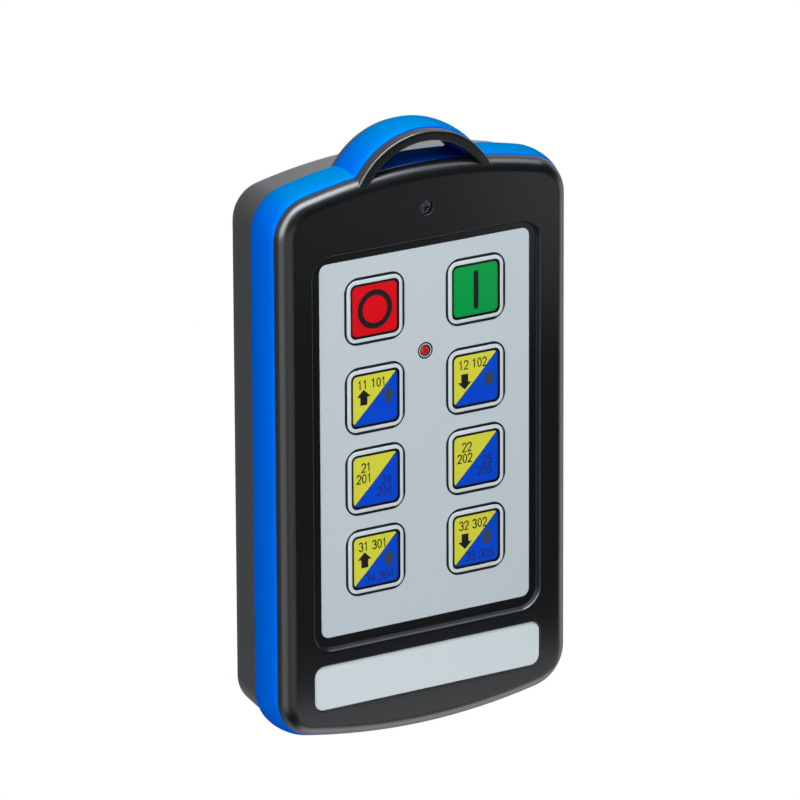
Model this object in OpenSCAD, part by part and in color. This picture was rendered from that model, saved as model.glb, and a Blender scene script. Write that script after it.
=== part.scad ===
// Hand-held radio remote control for a crane or winch, lying on its back.
// X runs across the keys, Y along the case towards the lanyard loop, Z out of the key face.
// The origin is on the back face, under the middle of the whole outline.

/* [Case] */
// Radius of the four corners
corner_r = 10; // [7:0.5:12]
// Radius of the curved top end
top_arc_r = 142; // [120:1:300]
// Radius of the curved bottom end
bottom_arc_r = 165; // [120:1:300]
// Height of the seal band that shows
band_h = 9.6; // [8:0.1:11]
// Height of the front shell above the band
front_h = 3.6; // [3.4:0.1:5]
// Wall thickness of the shells
wall = 2.2; // [1.8:0.1:2.6]
// Edge radius round the key face
front_round = 3.6; // [2:0.1:3.6]
// Edge radius round the back
rear_round = 2; // [1:0.1:3]
// How far the rear shell tapers in at the back
rear_taper = 1.65; // [0.5:0.05:2]

/* [Seal band] */
// Thickness of the band behind the shells' outline
band_t = 2; // [1.6:0.1:2.4]
// How far the band bulges out of the shells
band_crown = 1.2; // [0.4:0.1:2]
// Thickness of the shell lips behind the band
lip_t = 1.4; // [1:0.1:1.8]
// Gap between the two shells' lips
lip_gap = 0.8; // [0.2:0.1:2]

/* [Lanyard loop] */
// Outer radius of the loop
loop_r = 20.95; // [20:0.05:24]
// Radial thickness of the loop
loop_t = 2.5; // [2:0.1:3.2]
// How far the loop's centre lies below the top crest
loop_drop = 12.8; // [11:0.1:13.4]
// How far the loop's front face lies behind the key face
loop_set_back = 0.6; // [0.4:0.1:1.2]
// Depth of the loop's rear leaf
loop_leaf = 1.8; // [1.4:0.1:3]

/* [Keys] */
// Spacing of the two key columns
column_pitch = 28; // [26:0.5:29]
// Spacing between the stop and start row and the next row
first_pitch = 22; // [21:0.5:24]
// Spacing between the other rows
row_pitch = 20; // [19.5:0.5:21]
// Width and height of a key pad
key_w = 12.8; // [11:0.1:13.4]
// Clearance round a key pad in its window
key_gap = 0.3; // [0.3:0.05:0.6]
// Travel of a key
key_travel = 0.5; // [0.3:0.05:0.7]
// Height of a pad above the sheet that surrounds it
key_proud = 0.1; // [0:0.05:0.3]

/* [Keypad sheet] */
// Bare sheet beyond the rims of the outer keys
sheet_margin = 7.3; // [5:0.1:8]
// Corner radius of the sheet
sheet_corner = 2; // [1:0.1:4]
// Thickness of the sheet
sheet_t = 0.2; // [0.15:0.05:0.3]
// Width of the raised rim round each key
rim_wall = 1; // [0.6:0.1:1.2]
// Height of the raised rims
rim_h = 0.3; // [0.2:0.05:0.6]
// Depth of the pocket that holds the sheet
pocket_depth = 1.2; // [0.8:0.1:1.4]
// Bare margin round the sheet on the pocket floor
pocket_margin = 2.1; // [1.5:0.1:2.4]
// How far the pocket's wall leans outwards
pocket_lean = 0.65; // [0.3:0.05:0.9]
// How far the sheet's middle lies below the middle of the key rows
sheet_drop = 2.15; // [1.6:0.05:2.4]
// Bare face from the top crest down to the pocket
bare_top = 17.25; // [16:0.05:24]

/* [Name plate] */
// Width of the bare name plate
plate_w = 63; // [60:0.5:64]
// Height of the bare name plate
plate_len = 11; // [9:0.5:11.5]
// Corner radius of the plate
plate_corner = 2.5; // [1:0.1:4]
// Thickness of the plate
plate_t = 0.2; // [0.15:0.05:0.3]
// Depth of the plate's pocket
plate_depth = 0.6; // [0.4:0.1:0.8]
// Bare face between the keypad's pocket and the plate
plate_land = 3.8; // [2:0.1:8]
// Bare face between the plate and the bottom edge's round
bare_bottom = 5.75; // [3:0.05:12]

/* [Circuit board] */
// Thickness of the main board
board_t = 1.6; // [1.2:0.1:2]
// Width of a key switch
switch_w = 6; // [5.5:0.1:6.5]
// Height of a key switch over the board
switch_h = 3.4; // [3:0.1:3.5]
// Radius of a switch plunger
plunger_r = 1.75; // [1.4:0.05:2]
// Diameter of the status lamp
lamp_d = 2.9; // [2.5:0.1:3.2]

/* [Battery] */
// Length of the battery without its terminals
battery_len = 46.4; // [45:0.1:47]
// Width of the battery
battery_w = 26.5; // [25:0.1:26.6]
// Thickness of the battery
battery_t = 17.5; // [15:0.1:17.8]

/* [Screws] */
// Radius of the rear screws' shanks
case_screw_r = 1.45; // [1.2:0.05:1.45]
// Length of the rear screws under their heads
case_screw_len = 16; // [14:0.5:17]
// Radius of the front screw's shank
front_screw_r = 0.95; // [0.8:0.05:1.1]
// Radius of the board screws' shanks
board_screw_r = 0.95; // [0.8:0.05:1.05]

/* [Hidden] */
$fn = 64;
overrun = 1; // one overrun for every cut
sliver = 0.02; // thickness of the slices that the rounded shells are drawn over
touch = 0.1; // clearance between nested pieces that do not move
corner_steps = 10;
end_steps = 12;
round_steps = 6;

// Heights, counted from the back: the battery and its pad fill the case
pad_under = 0.4; // gap that the cradle's floor pads fill
pad_room = 2.9; // between the battery and the face, for the battery pad
face_skin = 1.8; // thickness of the face under the keypad pocket
battery_z = wall+pad_under;
battery_top = battery_z+battery_t;
ceiling_z = battery_top+pad_room;
pocket_z = ceiling_z+face_skin;
sheet_z = pocket_z+sheet_t;
face_z = pocket_z+pocket_depth;
front_base = face_z-front_h;
rear_top = front_base-band_h;
lip_h = (band_h-lip_gap)/2;
lip_inset = band_t+touch;
inner_inset = lip_inset+lip_t;
cavity_inset = wall+rear_taper;

// Keypad sheet and the windows for the keys
keys_span = first_pitch+2*row_pitch;
window_w = key_w+2*key_gap;
rim_w = window_w+2*rim_wall;
sheet_w = column_pitch+rim_w+2*sheet_margin;
sheet_len = keys_span+rim_w+2*sheet_margin;

// Places along the case, from the top crest down to the plate
key_rows_drop = bare_top+pocket_lean+pocket_margin+sheet_len/2-sheet_drop;
plate_drop = sheet_drop+sheet_len/2+pocket_margin+pocket_lean+plate_land+touch+plate_len/2;
face_len = key_rows_drop+plate_drop+plate_len/2+touch+bare_bottom+front_round;
loop_rise = loop_r-loop_drop;
overall_len = face_len+2*band_crown+loop_rise;
bottom_y = -overall_len/2+band_crown;
crest_y = bottom_y+face_len;
loop_y = crest_y-loop_drop;
loop_in_r = loop_r-loop_t;
keys_y = crest_y-key_rows_drop;
stop_y = keys_y+keys_span/2;
row_y = [stop_y, stop_y-first_pitch, stop_y-first_pitch-row_pitch, stop_y-first_pitch-2*row_pitch];
column_x = [-column_pitch/2, column_pitch/2];
sheet_y = keys_y-sheet_drop;
plate_y = keys_y-plate_drop;

// Keys: pad, flange under the face, socket for the plunger
key_corner = 1.3;
window_corner = key_corner+key_gap;
pad_z = sheet_z+key_proud;
flange_over = 0.7; // how far the flange reaches past the window
flange_w = window_w+2*flange_over;
flange_t = 0.9;
flange_gap = 0.15; // the flange's clearance under the face
flange_z = ceiling_z-flange_gap;
flange_base = flange_z-flange_t;
socket_wall = 1.2;
socket_gap = 0.15;
socket_r = plunger_r+socket_gap;
socket_h = 1;
socket_base = flange_base-socket_h;

// Board and switches
switch_room = 0.3; // left between a pressed key's socket and the switch
board_top = socket_base-key_travel-switch_room-switch_h;
board_z = board_top-board_t;
board_corner = 3;
cover_t = 0.25;
cover_hole_gap = 0.25;
switch_top = board_top+switch_h;
plunger_gap = 0.08; // running clearance of a plunger in its switch
plunger_depth = 1.4; // how deep a plunger stands in its switch
plunger_spare = 0.1; // left under a fully pressed plunger
leg_w = 0.7;
leg_t = 0.2;
leg_reach = 1.2;

// Status lamp between the stop row and the next, in the middle
lamp_drop = 12.67; // from the stop row down to the lamp
lamp_y = stop_y-lamp_drop;
lamp_h = 5.3;
lamp_flange_h = 1;
lamp_flange_out = 0.45;
lamp_gap = 0.15;
lamp_wire_w = 0.5;
lamp_wire_pitch = 1.27;
lamp_proud = 0.15;
lamp_base = sheet_z+lamp_proud-lamp_h;
wire_tail = 1.2; // how far wires and pins stick out under the board

// Rear screws and the bosses that they join
head_r = 2.75;
head_h = 2;
head_sink = 1; // depth of the head below the back face
head_gap = 0.35;
drive_w_share = 0.22; // width of a drive slot, as a share of its head's radius
drive_len_share = 1.2; // length of a drive slot, as a share of its head's radius
drive_deep_share = 0.5; // depth of a drive slot, as a share of its head's height
seat_z = head_sink+head_h;
rear_boss_wall = 1.3;
rear_boss_r = head_r+head_gap+rear_boss_wall;
boss_off = 0.3; // clearance between a rear boss and the lip line
boss_in = 14.4; // from each end's crest to the rear screws
boss_extra = 2.4; // further in at the loop end
boss_top_y = crest_y-boss_in-boss_extra;
boss_low_y = bottom_y+boss_in;
boss_board_gap = 1.05;
boss_meet = board_z-boss_board_gap; // height where rear and front bosses meet
insert_wall = 0.65;
insert_len = 5;
thread_gap = 0.05;
shank_gap = 0.15;
insert_r = case_screw_r+thread_gap+insert_wall;
front_boss_wall = 1.2;
front_boss_r = insert_r+front_boss_wall;
screw_spare = 1.1; // depth left past a rear screw's tip

// Front screw near the loop, into a post of the rear shell
front_screw_drop = 10.25; // from the top crest down to the front screw
front_screw_y = crest_y-front_screw_drop;
front_head_r = 1.6;
front_head_h = 1.3;
front_head_gap = 0.15;
front_head_sink = 0.7;
front_sink_lead = 0.3; // chamfer at the mouth of the front screw's hole
front_seat_z = face_z-front_head_sink-front_head_h;
front_shank = 11.5;
front_post_h = 5.3;
front_meet = ceiling_z-front_post_h; // height where the front screw's two posts meet
front_insert_wall = 0.5;
front_insert_len = 4;
front_insert_r = front_screw_r+thread_gap+front_insert_wall;
front_post_wall = 1.4;
front_post_r = front_insert_r+front_post_wall;

// Board screws, up through the board into the front shell's posts
board_post_wall = 1.6;
board_post_r = board_screw_r+thread_gap+board_post_wall;
board_post_in = 3; // from the board's edges to its screws
board_screw_len = 5.5;
board_head_r = 1.8;
board_head_h = 1.3;
post_key_gap = 0.9; // between a board post and the nearest key's flange
board_screws_x = column_pitch/2+flange_w/2+post_key_gap+board_post_r;
board_w = 2*(board_screws_x+board_post_in);

// Battery, snap cap, leads, cradle ribs and pads
battery_corner = 1.5;
battery_room = 0.4;
battery_off = 2.9; // clear of the curved bottom wall at the battery's corners
terminal_h = 2.1;
terminal_r = [2.7, 3.6];
terminal_pitch = 12.7;
snap_w = 25.4;
cradle_w = max(battery_w, snap_w);
battery_y = bottom_y+cavity_inset+battery_off+cradle_w/2;
snap_h = 12.4;
snap_gap = 0.3;
snap_back = 1.5; // solid back of the snap cap behind the terminals
battery_total = battery_len+snap_back+terminal_h+snap_gap;
battery_x = -battery_total/2;
terminal_x = battery_x+battery_len;
snap_x = terminal_x+touch;
battery_mid_z = battery_z+battery_t/2;

// The board reaches from the battery to the front screw's post
board_battery_gap = 0.5;
board_post_gap = 2.2; // between the board and the front screw's post
board_low_y = battery_y+cradle_w/2+board_battery_gap;
board_high_y = front_screw_y-front_post_r-board_post_gap;
board_len = board_high_y-board_low_y;
board_y = board_low_y+board_len/2;
board_screws_y = [board_low_y+board_post_in, board_high_y-board_post_in];

// The case is as wide as its bosses beside the board and beside the battery need
board_side = 0.25; // between the board and a front boss
battery_side = 2.05; // between the battery and a rear boss
boss_x = max(board_w/2+board_side+front_boss_r, battery_total/2+battery_side+rear_boss_r);
half_w = boss_x+rear_boss_r+boss_off+inner_inset;

// Cradle ribs, leads and their plug
rib_t = 1.5;
rib_board_gap = 3.15;
rib_h = board_z-rib_board_gap;
rib_y = battery_y+cradle_w/2+battery_room;
rib_len_share = 0.7; // length of the long cradle rib, as a share of the battery's length
stop_rib_len = 10;
lead_r = 0.65;
lead_sides = 8;
lead_rings = 12;
lead_pitch = 2;
plug_w = 6;
plug_len = 7;
plug_h = 3.4;
plug_in = 4.5; // how far the plug stands in its socket
socket_room = 0.15;
socket_skin = 0.7;
header_x = 19.9;
header_up = 15.7; // from the board's lower edge up to the middle of its socket
header_y = board_low_y+header_up;
header_len = 6;
header_h = plug_h+2*socket_skin+2*socket_room;
header_low_y = header_y-header_len/2;
plug_z = board_z-socket_skin-socket_room-plug_h/2;
plug_y = header_low_y+plug_in-plug_len;

// Circuit parts on the back of the board, placed by shares of the board from its middle
chip_w = 10;
chip_t = 1.4;
chip_off = 0.1;
chip_share = [0, 0.05];
chip_pins = 8;
chip_pitch = 1;
chip_leg = 1;
chip_leg_w = 0.4;
crystal_size = [11, 4.5, 3.5];
crystal_share = [0.27, 0.09];
regulator_size = [6.5, 3.5, 1.6];
regulator_share = [0.29, -0.19];
can_d = 6.3;
can_h = 5.4;
can_base = 0.6;
can_shares = [[0.29, 0.29], [0.29, 0.38], [-0.32, -0.24]];
resistor_size = [2, 1.25, 0.5];
resistor_shares = [
    [-0.21, -0.04], [-0.21, 0.01], [-0.21, 0.05], [-0.21, 0.1],
    [0.14, -0.13], [0.05, -0.13], [-0.04, -0.13], [-0.13, -0.13]
];
radio_size = [22, 16, 1];
radio_share = [-0.14, 0.34];
radio_off = 2.5;
radio_can_size = [14, 11, 2.2];
radio_pin_w = 0.6;
radio_pin_pitch = 2.54;
radio_pin_count = 6;
radio_z = board_z-radio_off-radio_size[2];
wire_r = 0.5;
antenna_len = 40;
antenna_drop_share = 0.6; // how far the wire hangs under the radio board, as a share of the room there

// Bare plate on the back
back_plate_w = 46;
back_plate_len = 28;
back_plate_t = 0.2;
back_plate_sink = 0.35;
back_plate_up = 12; // from the origin up to the plate's middle

// Points of an arc, with or without its last point
function arc(centre, r, from, to, steps, whole) =
    [for (i = [0:whole ? steps : steps-1])
        let (a = from+(to-from)*i/steps) centre+r*[cos(a), sin(a)]];

// The case's outline, drawn in by a distance: two end curves, four corners, straight sides
function outline(inset) = let (
    w = half_w-inset,
    r = max(corner_r-inset, corner_r/4),
    side = w-r,
    top_c = crest_y-top_arc_r,
    low_c = bottom_y+bottom_arc_r,
    top_y = top_c+sqrt(pow(top_arc_r-inset-r, 2)-side*side),
    low_y = low_c-sqrt(pow(bottom_arc_r-inset-r, 2)-side*side),
    a = atan2(top_y-top_c, side),
    b = atan2(low_c-low_y, side)
) concat(
    arc([0, top_c], top_arc_r-inset, a, 180-a, end_steps, false),
    arc([-side, top_y], r, 180-a, 180, corner_steps, true),
    arc([-side, low_y], r, 180, 180+b, corner_steps, false),
    arc([0, low_c], bottom_arc_r-inset, 180+b, 360-b, end_steps, false),
    arc([side, low_y], r, 360-b, 360, corner_steps, true),
    arc([side, top_y], r, 0, a, corner_steps, false)
);

function rounded(w, len, r) = let (x = w/2-r, y = len/2-r) concat(
    arc([x, y], r, 0, 90, round_steps, true),
    arc([-x, y], r, 90, 180, round_steps, true),
    arc([-x, -y], r, 180, 270, round_steps, true),
    arc([x, -y], r, 270, 360, round_steps, true)
);

// A point on the smooth curve that four points steer
function bend(p, t) = pow(1-t, 3)*p[0]+3*t*pow(1-t, 2)*p[1]+3*t*t*(1-t)*p[2]+pow(t, 3)*p[3];

function unit(v) = v/norm(v);

module case_prism(inset, low, high) {
    translate([0, 0, low]) linear_extrude(high-low) polygon(outline(inset));
}

module slab(w, len, r, low, high) {
    translate([0, 0, low]) linear_extrude(high-low) polygon(rounded(w, len, r));
}

module block(size, low_middle) {
    translate(low_middle-[size[0]/2, size[1]/2, 0]) cube(size);
}

module at_keys() {
    for (y = row_y, x = column_x) translate([x, y, 0]) children();
}

module at_board(share) {
    translate([share[0]*board_w, board_y+share[1]*board_len, 0]) children();
}

module at_case_screws() {
    for (x = [-boss_x, boss_x], y = [boss_low_y, boss_top_y]) translate([x, y, 0]) children();
}

module at_board_screws() {
    for (x = [-board_screws_x, board_screws_x], y = board_screws_y) translate([x, y, 0]) children();
}

module arch(profile) {
    translate([0, loop_y, 0]) rotate_extrude(angle = 180) polygon(profile);
}

// Cross slots of a screw head, sunk from its top face
module drive(r, h) {
    slot = [r*drive_len_share, r*drive_w_share*2, h*drive_deep_share+overrun];
    for (turn = [0, 90]) rotate(turn)
        translate([-slot[0]/2, -slot[1]/2, -h*drive_deep_share]) cube(slot);
}

module front_body() {
    edge = min(front_round, front_h);
    hull() {
        case_prism(0, front_base, front_base+sliver);
        for (i = [0:round_steps]) let (a = 90*i/round_steps, z = face_z-edge+edge*sin(a))
            case_prism(edge-edge*cos(a), max(front_base, z-sliver), z+(i == 0 ? sliver : 0));
    }
}

module rear_body() {
    hull() {
        case_prism(0, rear_top-sliver, rear_top);
        for (i = [0:round_steps])
            let (a = 90*i/round_steps, z = rear_round-rear_round*sin(a),
                taper = rear_taper*(1-z/rear_top))
            case_prism(taper+rear_round-rear_round*cos(a), z, z+sliver);
    }
}

module band_body() {
    middle = rear_top+band_h/2;
    hull() for (i = [-round_steps:round_steps])
        let (a = 90*i/round_steps, z = middle+band_h/2*sin(a))
        case_prism(-band_crown*cos(a), max(rear_top, z-sliver), min(front_base, z+sliver));
}

module front_shell() color([0.15, 0.15, 0.17]) {
    arch_top = face_z-loop_set_back;
    edge = loop_t/3;
    difference() {
        union() {
            front_body();
            case_prism(lip_inset, front_base-lip_h, max(ceiling_z, front_base)+touch);
            arch(concat(
                [[loop_in_r, arch_top], [loop_in_r, front_base], [loop_r, front_base]],
                arc([loop_r-edge, arch_top-edge], edge, 0, 90, round_steps, true)));
        }
        case_prism(inner_inset, front_base-lip_h-overrun, ceiling_z);
        hull() {
            pocket_w = sheet_w+2*pocket_margin;
            pocket_len = sheet_len+2*pocket_margin;
            corner = sheet_corner+pocket_margin;
            translate([0, sheet_y, 0]) slab(pocket_w, pocket_len, corner, pocket_z, pocket_z+sliver);
            translate([0, sheet_y, 0]) slab(pocket_w+2*pocket_lean, pocket_len+2*pocket_lean,
                corner+pocket_lean, face_z, face_z+overrun);
        }
        translate([0, plate_y, 0]) slab(plate_w+2*touch, plate_len+2*touch,
            plate_corner+touch, face_z-plate_depth, face_z+overrun);
        at_keys() slab(window_w, window_w, window_corner, ceiling_z-overrun, face_z);
        translate([0, lamp_y, ceiling_z-overrun]) cylinder(r = lamp_d/2+lamp_gap, h = face_z);
        translate([0, front_screw_y, 0]) {
            cylinder(r = front_screw_r+shank_gap, h = face_z);
            translate([0, 0, front_seat_z]) cylinder(r = front_head_r+front_head_gap, h = face_z);
            translate([0, 0, face_z-front_sink_lead]) cylinder(
                r1 = front_head_r+front_head_gap, r2 = front_head_r+front_head_gap+2*front_sink_lead,
                h = 2*front_sink_lead);
        }
    }
    difference() {
        at_board_screws() translate([0, 0, board_top]) cylinder(r = board_post_r, h = ceiling_z-board_top);
        at_board_screws() translate([0, 0, board_top-overrun])
            cylinder(r = board_screw_r+thread_gap, h = board_screw_len-board_t+2*overrun);
    }
    difference() {
        at_case_screws() translate([0, 0, boss_meet]) cylinder(r = front_boss_r, h = ceiling_z-boss_meet);
        at_case_screws() {
            translate([0, 0, boss_meet-overrun]) cylinder(r = insert_r, h = insert_len+overrun);
            translate([0, 0, boss_meet]) cylinder(r = case_screw_r+shank_gap,
                h = seat_z+case_screw_len+screw_spare-boss_meet);
        }
    }
    difference() {
        translate([0, front_screw_y, front_meet]) cylinder(r = front_post_r, h = ceiling_z-front_meet);
        translate([0, front_screw_y, 0]) cylinder(r = front_screw_r+shank_gap, h = face_z);
    }
}

module rear_shell() color([0.15, 0.15, 0.17]) {
    leaf_low = rear_top-loop_leaf;
    edge = loop_leaf/3;
    difference() {
        union() {
            difference() {
                union() {
                    rear_body();
                    case_prism(lip_inset, rear_top-wall, rear_top+lip_h);
                    arch(concat([[loop_in_r, leaf_low], [loop_in_r, rear_top], [loop_r, rear_top]],
                        arc([loop_r-edge, leaf_low+edge], edge, 0, -90, round_steps, true)));
                }
                case_prism(cavity_inset, wall, rear_top);
                case_prism(inner_inset, rear_top-wall, rear_top+lip_h+overrun);
            }
            at_case_screws() translate([0, 0, wall/2]) cylinder(r = rear_boss_r, h = boss_meet-wall/2);
            translate([0, front_screw_y, wall/2]) cylinder(r = front_post_r, h = front_meet-wall/2);
            rib_len = battery_len*rib_len_share;
            translate([-rib_len/2, rib_y, wall/2]) cube([rib_len, rib_t, rib_h-wall/2]);
            translate([battery_x-battery_room-rib_t, battery_y-stop_rib_len/2, wall/2])
                cube([rib_t, stop_rib_len, rib_h-wall/2]);
            for (x = [-rib_len/2, rib_len/2]) translate([x, battery_y, 0])
                block([rib_t, battery_w-2*battery_off, battery_z-wall/2], [0, 0, wall/2]);
        }
        at_case_screws() {
            translate([0, 0, -overrun]) cylinder(r = head_r+head_gap, h = seat_z+overrun);
            cylinder(r = case_screw_r+shank_gap, h = boss_meet+overrun);
        }
        translate([0, front_screw_y, 0]) {
            translate([0, 0, front_meet-front_insert_len])
                cylinder(r = front_insert_r, h = front_insert_len+overrun);
            translate([0, 0, front_seat_z-front_shank-overrun])
                cylinder(r = front_screw_r+shank_gap, h = front_shank);
        }
        translate([0, back_plate_up, 0]) slab(back_plate_w+2*touch, back_plate_len+2*touch,
            plate_corner+touch, -overrun, back_plate_sink);
    }
}

module seal_band() color([0.02, 0.35, 0.85]) {
    mid_z = rear_top+band_h/2;
    difference() {
        union() {
            difference() {
                band_body();
                difference() {
                    translate([0, loop_y, rear_top]) cylinder(r = loop_in_r, h = band_h);
                    case_prism(0, rear_top, front_base);
                }
            }
            arch(concat([[loop_in_r, rear_top]],
                [for (i = [-round_steps:round_steps]) let (a = 90*i/round_steps)
                    [loop_r+band_crown*cos(a), mid_z+band_h/2*sin(a)]],
                [[loop_in_r, front_base]]));
        }
        case_prism(band_t, rear_top-overrun, front_base+overrun);
    }
}

module keypad_sheet() color([0.76, 0.8, 0.82]) difference() {
    union() {
        translate([0, sheet_y, 0]) slab(sheet_w, sheet_len, sheet_corner, pocket_z, sheet_z);
        at_keys() slab(rim_w, rim_w, window_corner+(rim_w-window_w)/2, pocket_z, sheet_z+rim_h);
    }
    at_keys() slab(window_w, window_w, window_corner, pocket_z-overrun, sheet_z+rim_h+overrun);
    translate([0, lamp_y, pocket_z-overrun]) cylinder(r = lamp_d/2+lamp_gap/2, h = sheet_t+2*overrun);
}

module name_plate() color([0.78, 0.82, 0.84]) {
    low = face_z-plate_depth;
    translate([0, plate_y, 0]) slab(plate_w, plate_len, plate_corner, low, low+plate_t);
}

module rear_plate() color([0.8, 0.8, 0.8]) {
    translate([0, back_plate_up, 0]) slab(back_plate_w, back_plate_len, plate_corner,
        back_plate_sink-back_plate_t, back_plate_sink);
}

module key(column, row) translate([column_x[column], row_y[row], 0]) {
    slab(key_w, key_w, key_corner, flange_z-flange_t/2, pad_z);
    slab(flange_w, flange_w, key_corner, flange_base, flange_z);
    difference() {
        translate([0, 0, socket_base]) cylinder(r = socket_r+socket_wall, h = socket_h);
        translate([0, 0, socket_base-overrun]) cylinder(r = socket_r, h = socket_h+overrun);
    }
}

module stop_key() color([0.84, 0.06, 0.1]) key(0, 0);
module start_key() color([0, 0.6, 0.26]) key(1, 0);
module upper_left_key() color([0.85, 0.85, 0.24]) key(0, 1);
module upper_right_key() color([0.85, 0.85, 0.24]) key(1, 1);
module middle_left_key() color([0.85, 0.85, 0.24]) key(0, 2);
module middle_right_key() color([0.85, 0.85, 0.24]) key(1, 2);
module lower_left_key() color([0.85, 0.85, 0.24]) key(0, 3);
module lower_right_key() color([0.85, 0.85, 0.24]) key(1, 3);

module plunger(column, row) color([0.1, 0.1, 0.1]) {
    low = switch_top-plunger_depth;
    translate([column_x[column], row_y[row], low]) cylinder(r = plunger_r, h = flange_base-low);
}

module stop_plunger() plunger(0, 0);
module start_plunger() plunger(1, 0);
module upper_left_plunger() plunger(0, 1);
module upper_right_plunger() plunger(1, 1);
module middle_left_plunger() plunger(0, 2);
module middle_right_plunger() plunger(1, 2);
module lower_left_plunger() plunger(0, 3);
module lower_right_plunger() plunger(1, 3);

module switch_bases() color([0.12, 0.12, 0.13]) at_keys() difference() {
    block([switch_w, switch_w, switch_h-cover_t], [0, 0, board_top]);
    translate([0, 0, switch_top-plunger_depth-key_travel-plunger_spare])
        cylinder(r = plunger_r+plunger_gap, h = switch_h);
}

module switch_covers() color([0.75, 0.76, 0.78]) at_keys() difference() {
    block([switch_w, switch_w, cover_t], [0, 0, switch_top-cover_t]);
    translate([0, 0, board_top]) cylinder(r = plunger_r+cover_hole_gap, h = switch_h+overrun);
}

module switch_legs() color([0.8, 0.8, 0.8]) at_keys()
    for (side = [-1, 1], y = [-switch_w/3, switch_w/3])
        translate([side*(switch_w+leg_reach)/2, y, 0]) block([leg_reach, leg_w, leg_t], [0, 0, board_top]);

module main_board() color([0.05, 0.35, 0.15]) difference() {
    translate([0, board_y, 0]) slab(board_w, board_len, board_corner, board_z, board_top);
    at_board_screws() translate([0, 0, board_z-overrun])
        cylinder(r = board_screw_r+shank_gap, h = board_t+2*overrun);
    for (side = [-1, 1]) translate([side*lamp_wire_pitch, lamp_y, board_z-overrun])
        cylinder(r = lamp_wire_w, h = board_t+2*overrun);
}

module board_screws() color([0.7, 0.7, 0.72]) at_board_screws() difference() {
    union() {
        translate([0, 0, board_z-board_head_h]) cylinder(r = board_head_r, h = board_head_h);
        translate([0, 0, board_z]) cylinder(r = board_screw_r, h = board_screw_len);
    }
    translate([0, 0, board_z-board_head_h]) mirror([0, 0, 1]) drive(board_head_r, board_head_h);
}

module status_lamp() color([0.85, 0.05, 0.08]) translate([0, lamp_y, lamp_base]) {
    cylinder(r = lamp_d/2+lamp_flange_out, h = lamp_flange_h);
    cylinder(r = lamp_d/2, h = lamp_h-lamp_d/2);
    translate([0, 0, lamp_h-lamp_d/2]) difference() {
        sphere(r = lamp_d/2);
        translate([-lamp_d, -lamp_d, -2*lamp_d]) cube(2*lamp_d);
    }
}

module lamp_spacer() color([0.08, 0.08, 0.08]) translate([0, lamp_y, board_top]) difference() {
    cylinder(r = lamp_d/2+lamp_flange_out, h = lamp_base-board_top);
    for (side = [-1, 1]) translate([side*lamp_wire_pitch, 0, -overrun])
        cylinder(r = lamp_wire_w, h = lamp_base-board_top+2*overrun);
}

module lamp_wires() color([0.8, 0.8, 0.8])
    for (side = [-1, 1]) block([lamp_wire_w, lamp_wire_w, lamp_base-board_z+wire_tail],
        [side*lamp_wire_pitch, lamp_y, board_z-wire_tail]);

module controller_chip() color([0.07, 0.07, 0.08]) at_board(chip_share)
    block([chip_w, chip_w, chip_t], [0, 0, board_z-chip_off-chip_t]);

module controller_legs() color([0.8, 0.8, 0.8]) at_board(chip_share)
    for (turn = [0, 90, 180, 270], i = [0:chip_pins-1]) rotate(turn)
        block([chip_leg, chip_leg_w, chip_t/2+chip_off],
            [(chip_w+chip_leg)/2, (i-(chip_pins-1)/2)*chip_pitch, board_z-chip_t/2-chip_off]);

module radio_board() color([0.05, 0.25, 0.45]) at_board(radio_share) block(radio_size, [0, 0, radio_z]);

module radio_can() color([0.75, 0.76, 0.78]) at_board(radio_share)
    block(radio_can_size, [0, 0, radio_z-radio_can_size[2]]);

module radio_pins() color([0.85, 0.7, 0.3]) at_board(radio_share)
    for (i = [0:radio_pin_count-1])
        block([radio_pin_w, radio_pin_w, radio_off],
            [(i-(radio_pin_count-1)/2)*radio_pin_pitch, (radio_pin_pitch-radio_size[1])/2, board_z-radio_off]);

module antenna() color([0.8, 0.55, 0.3]) {
    drop = (radio_z-wall)*antenna_drop_share;
    at_board(radio_share)
        translate([radio_pin_pitch-radio_size[0]/2, radio_size[1]/2-radio_pin_pitch, radio_z-drop]) {
            cylinder(r = wire_r, h = drop);
            sphere(r = wire_r);
            rotate([0, 90, 0]) cylinder(r = wire_r, h = antenna_len);
        }
}

module crystal() color([0.78, 0.78, 0.8]) at_board(crystal_share)
    block(crystal_size, [0, 0, board_z-crystal_size[2]]);

module regulator() color([0.08, 0.08, 0.08]) at_board(regulator_share)
    block(regulator_size, [0, 0, board_z-regulator_size[2]]);

module capacitors() color([0.72, 0.73, 0.75]) for (share = can_shares) at_board(share) {
    block([can_d, can_d, can_base], [0, 0, board_z-can_base]);
    translate([0, 0, board_z-can_base-can_h]) cylinder(r = can_d/2-touch, h = can_h);
}

module resistors() color([0.1, 0.1, 0.1]) for (share = resistor_shares) at_board(share)
    block(resistor_size, [0, 0, board_z-resistor_size[2]]);

module battery() color([0.2, 0.22, 0.3]) translate([battery_x, battery_y, battery_mid_z])
    rotate([0, 90, 0]) slab(battery_t, battery_w, battery_corner, 0, battery_len);

module battery_terminals() color([0.8, 0.78, 0.7])
    for (i = [0, 1]) translate([terminal_x, battery_y+(i-1/2)*terminal_pitch, battery_mid_z])
        rotate([0, 90, 0]) cylinder(r = terminal_r[i], h = terminal_h);

module battery_snap() color([0.08, 0.08, 0.08]) difference() {
    translate([snap_x, battery_y, battery_mid_z]) rotate([0, 90, 0])
        slab(snap_h, snap_w, battery_corner, 0, terminal_h+snap_back);
    for (i = [0, 1]) translate([terminal_x, battery_y+(i-1/2)*terminal_pitch, battery_mid_z])
        rotate([0, 90, 0]) cylinder(r = terminal_r[i]+snap_gap/2, h = terminal_h+touch);
}

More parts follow.
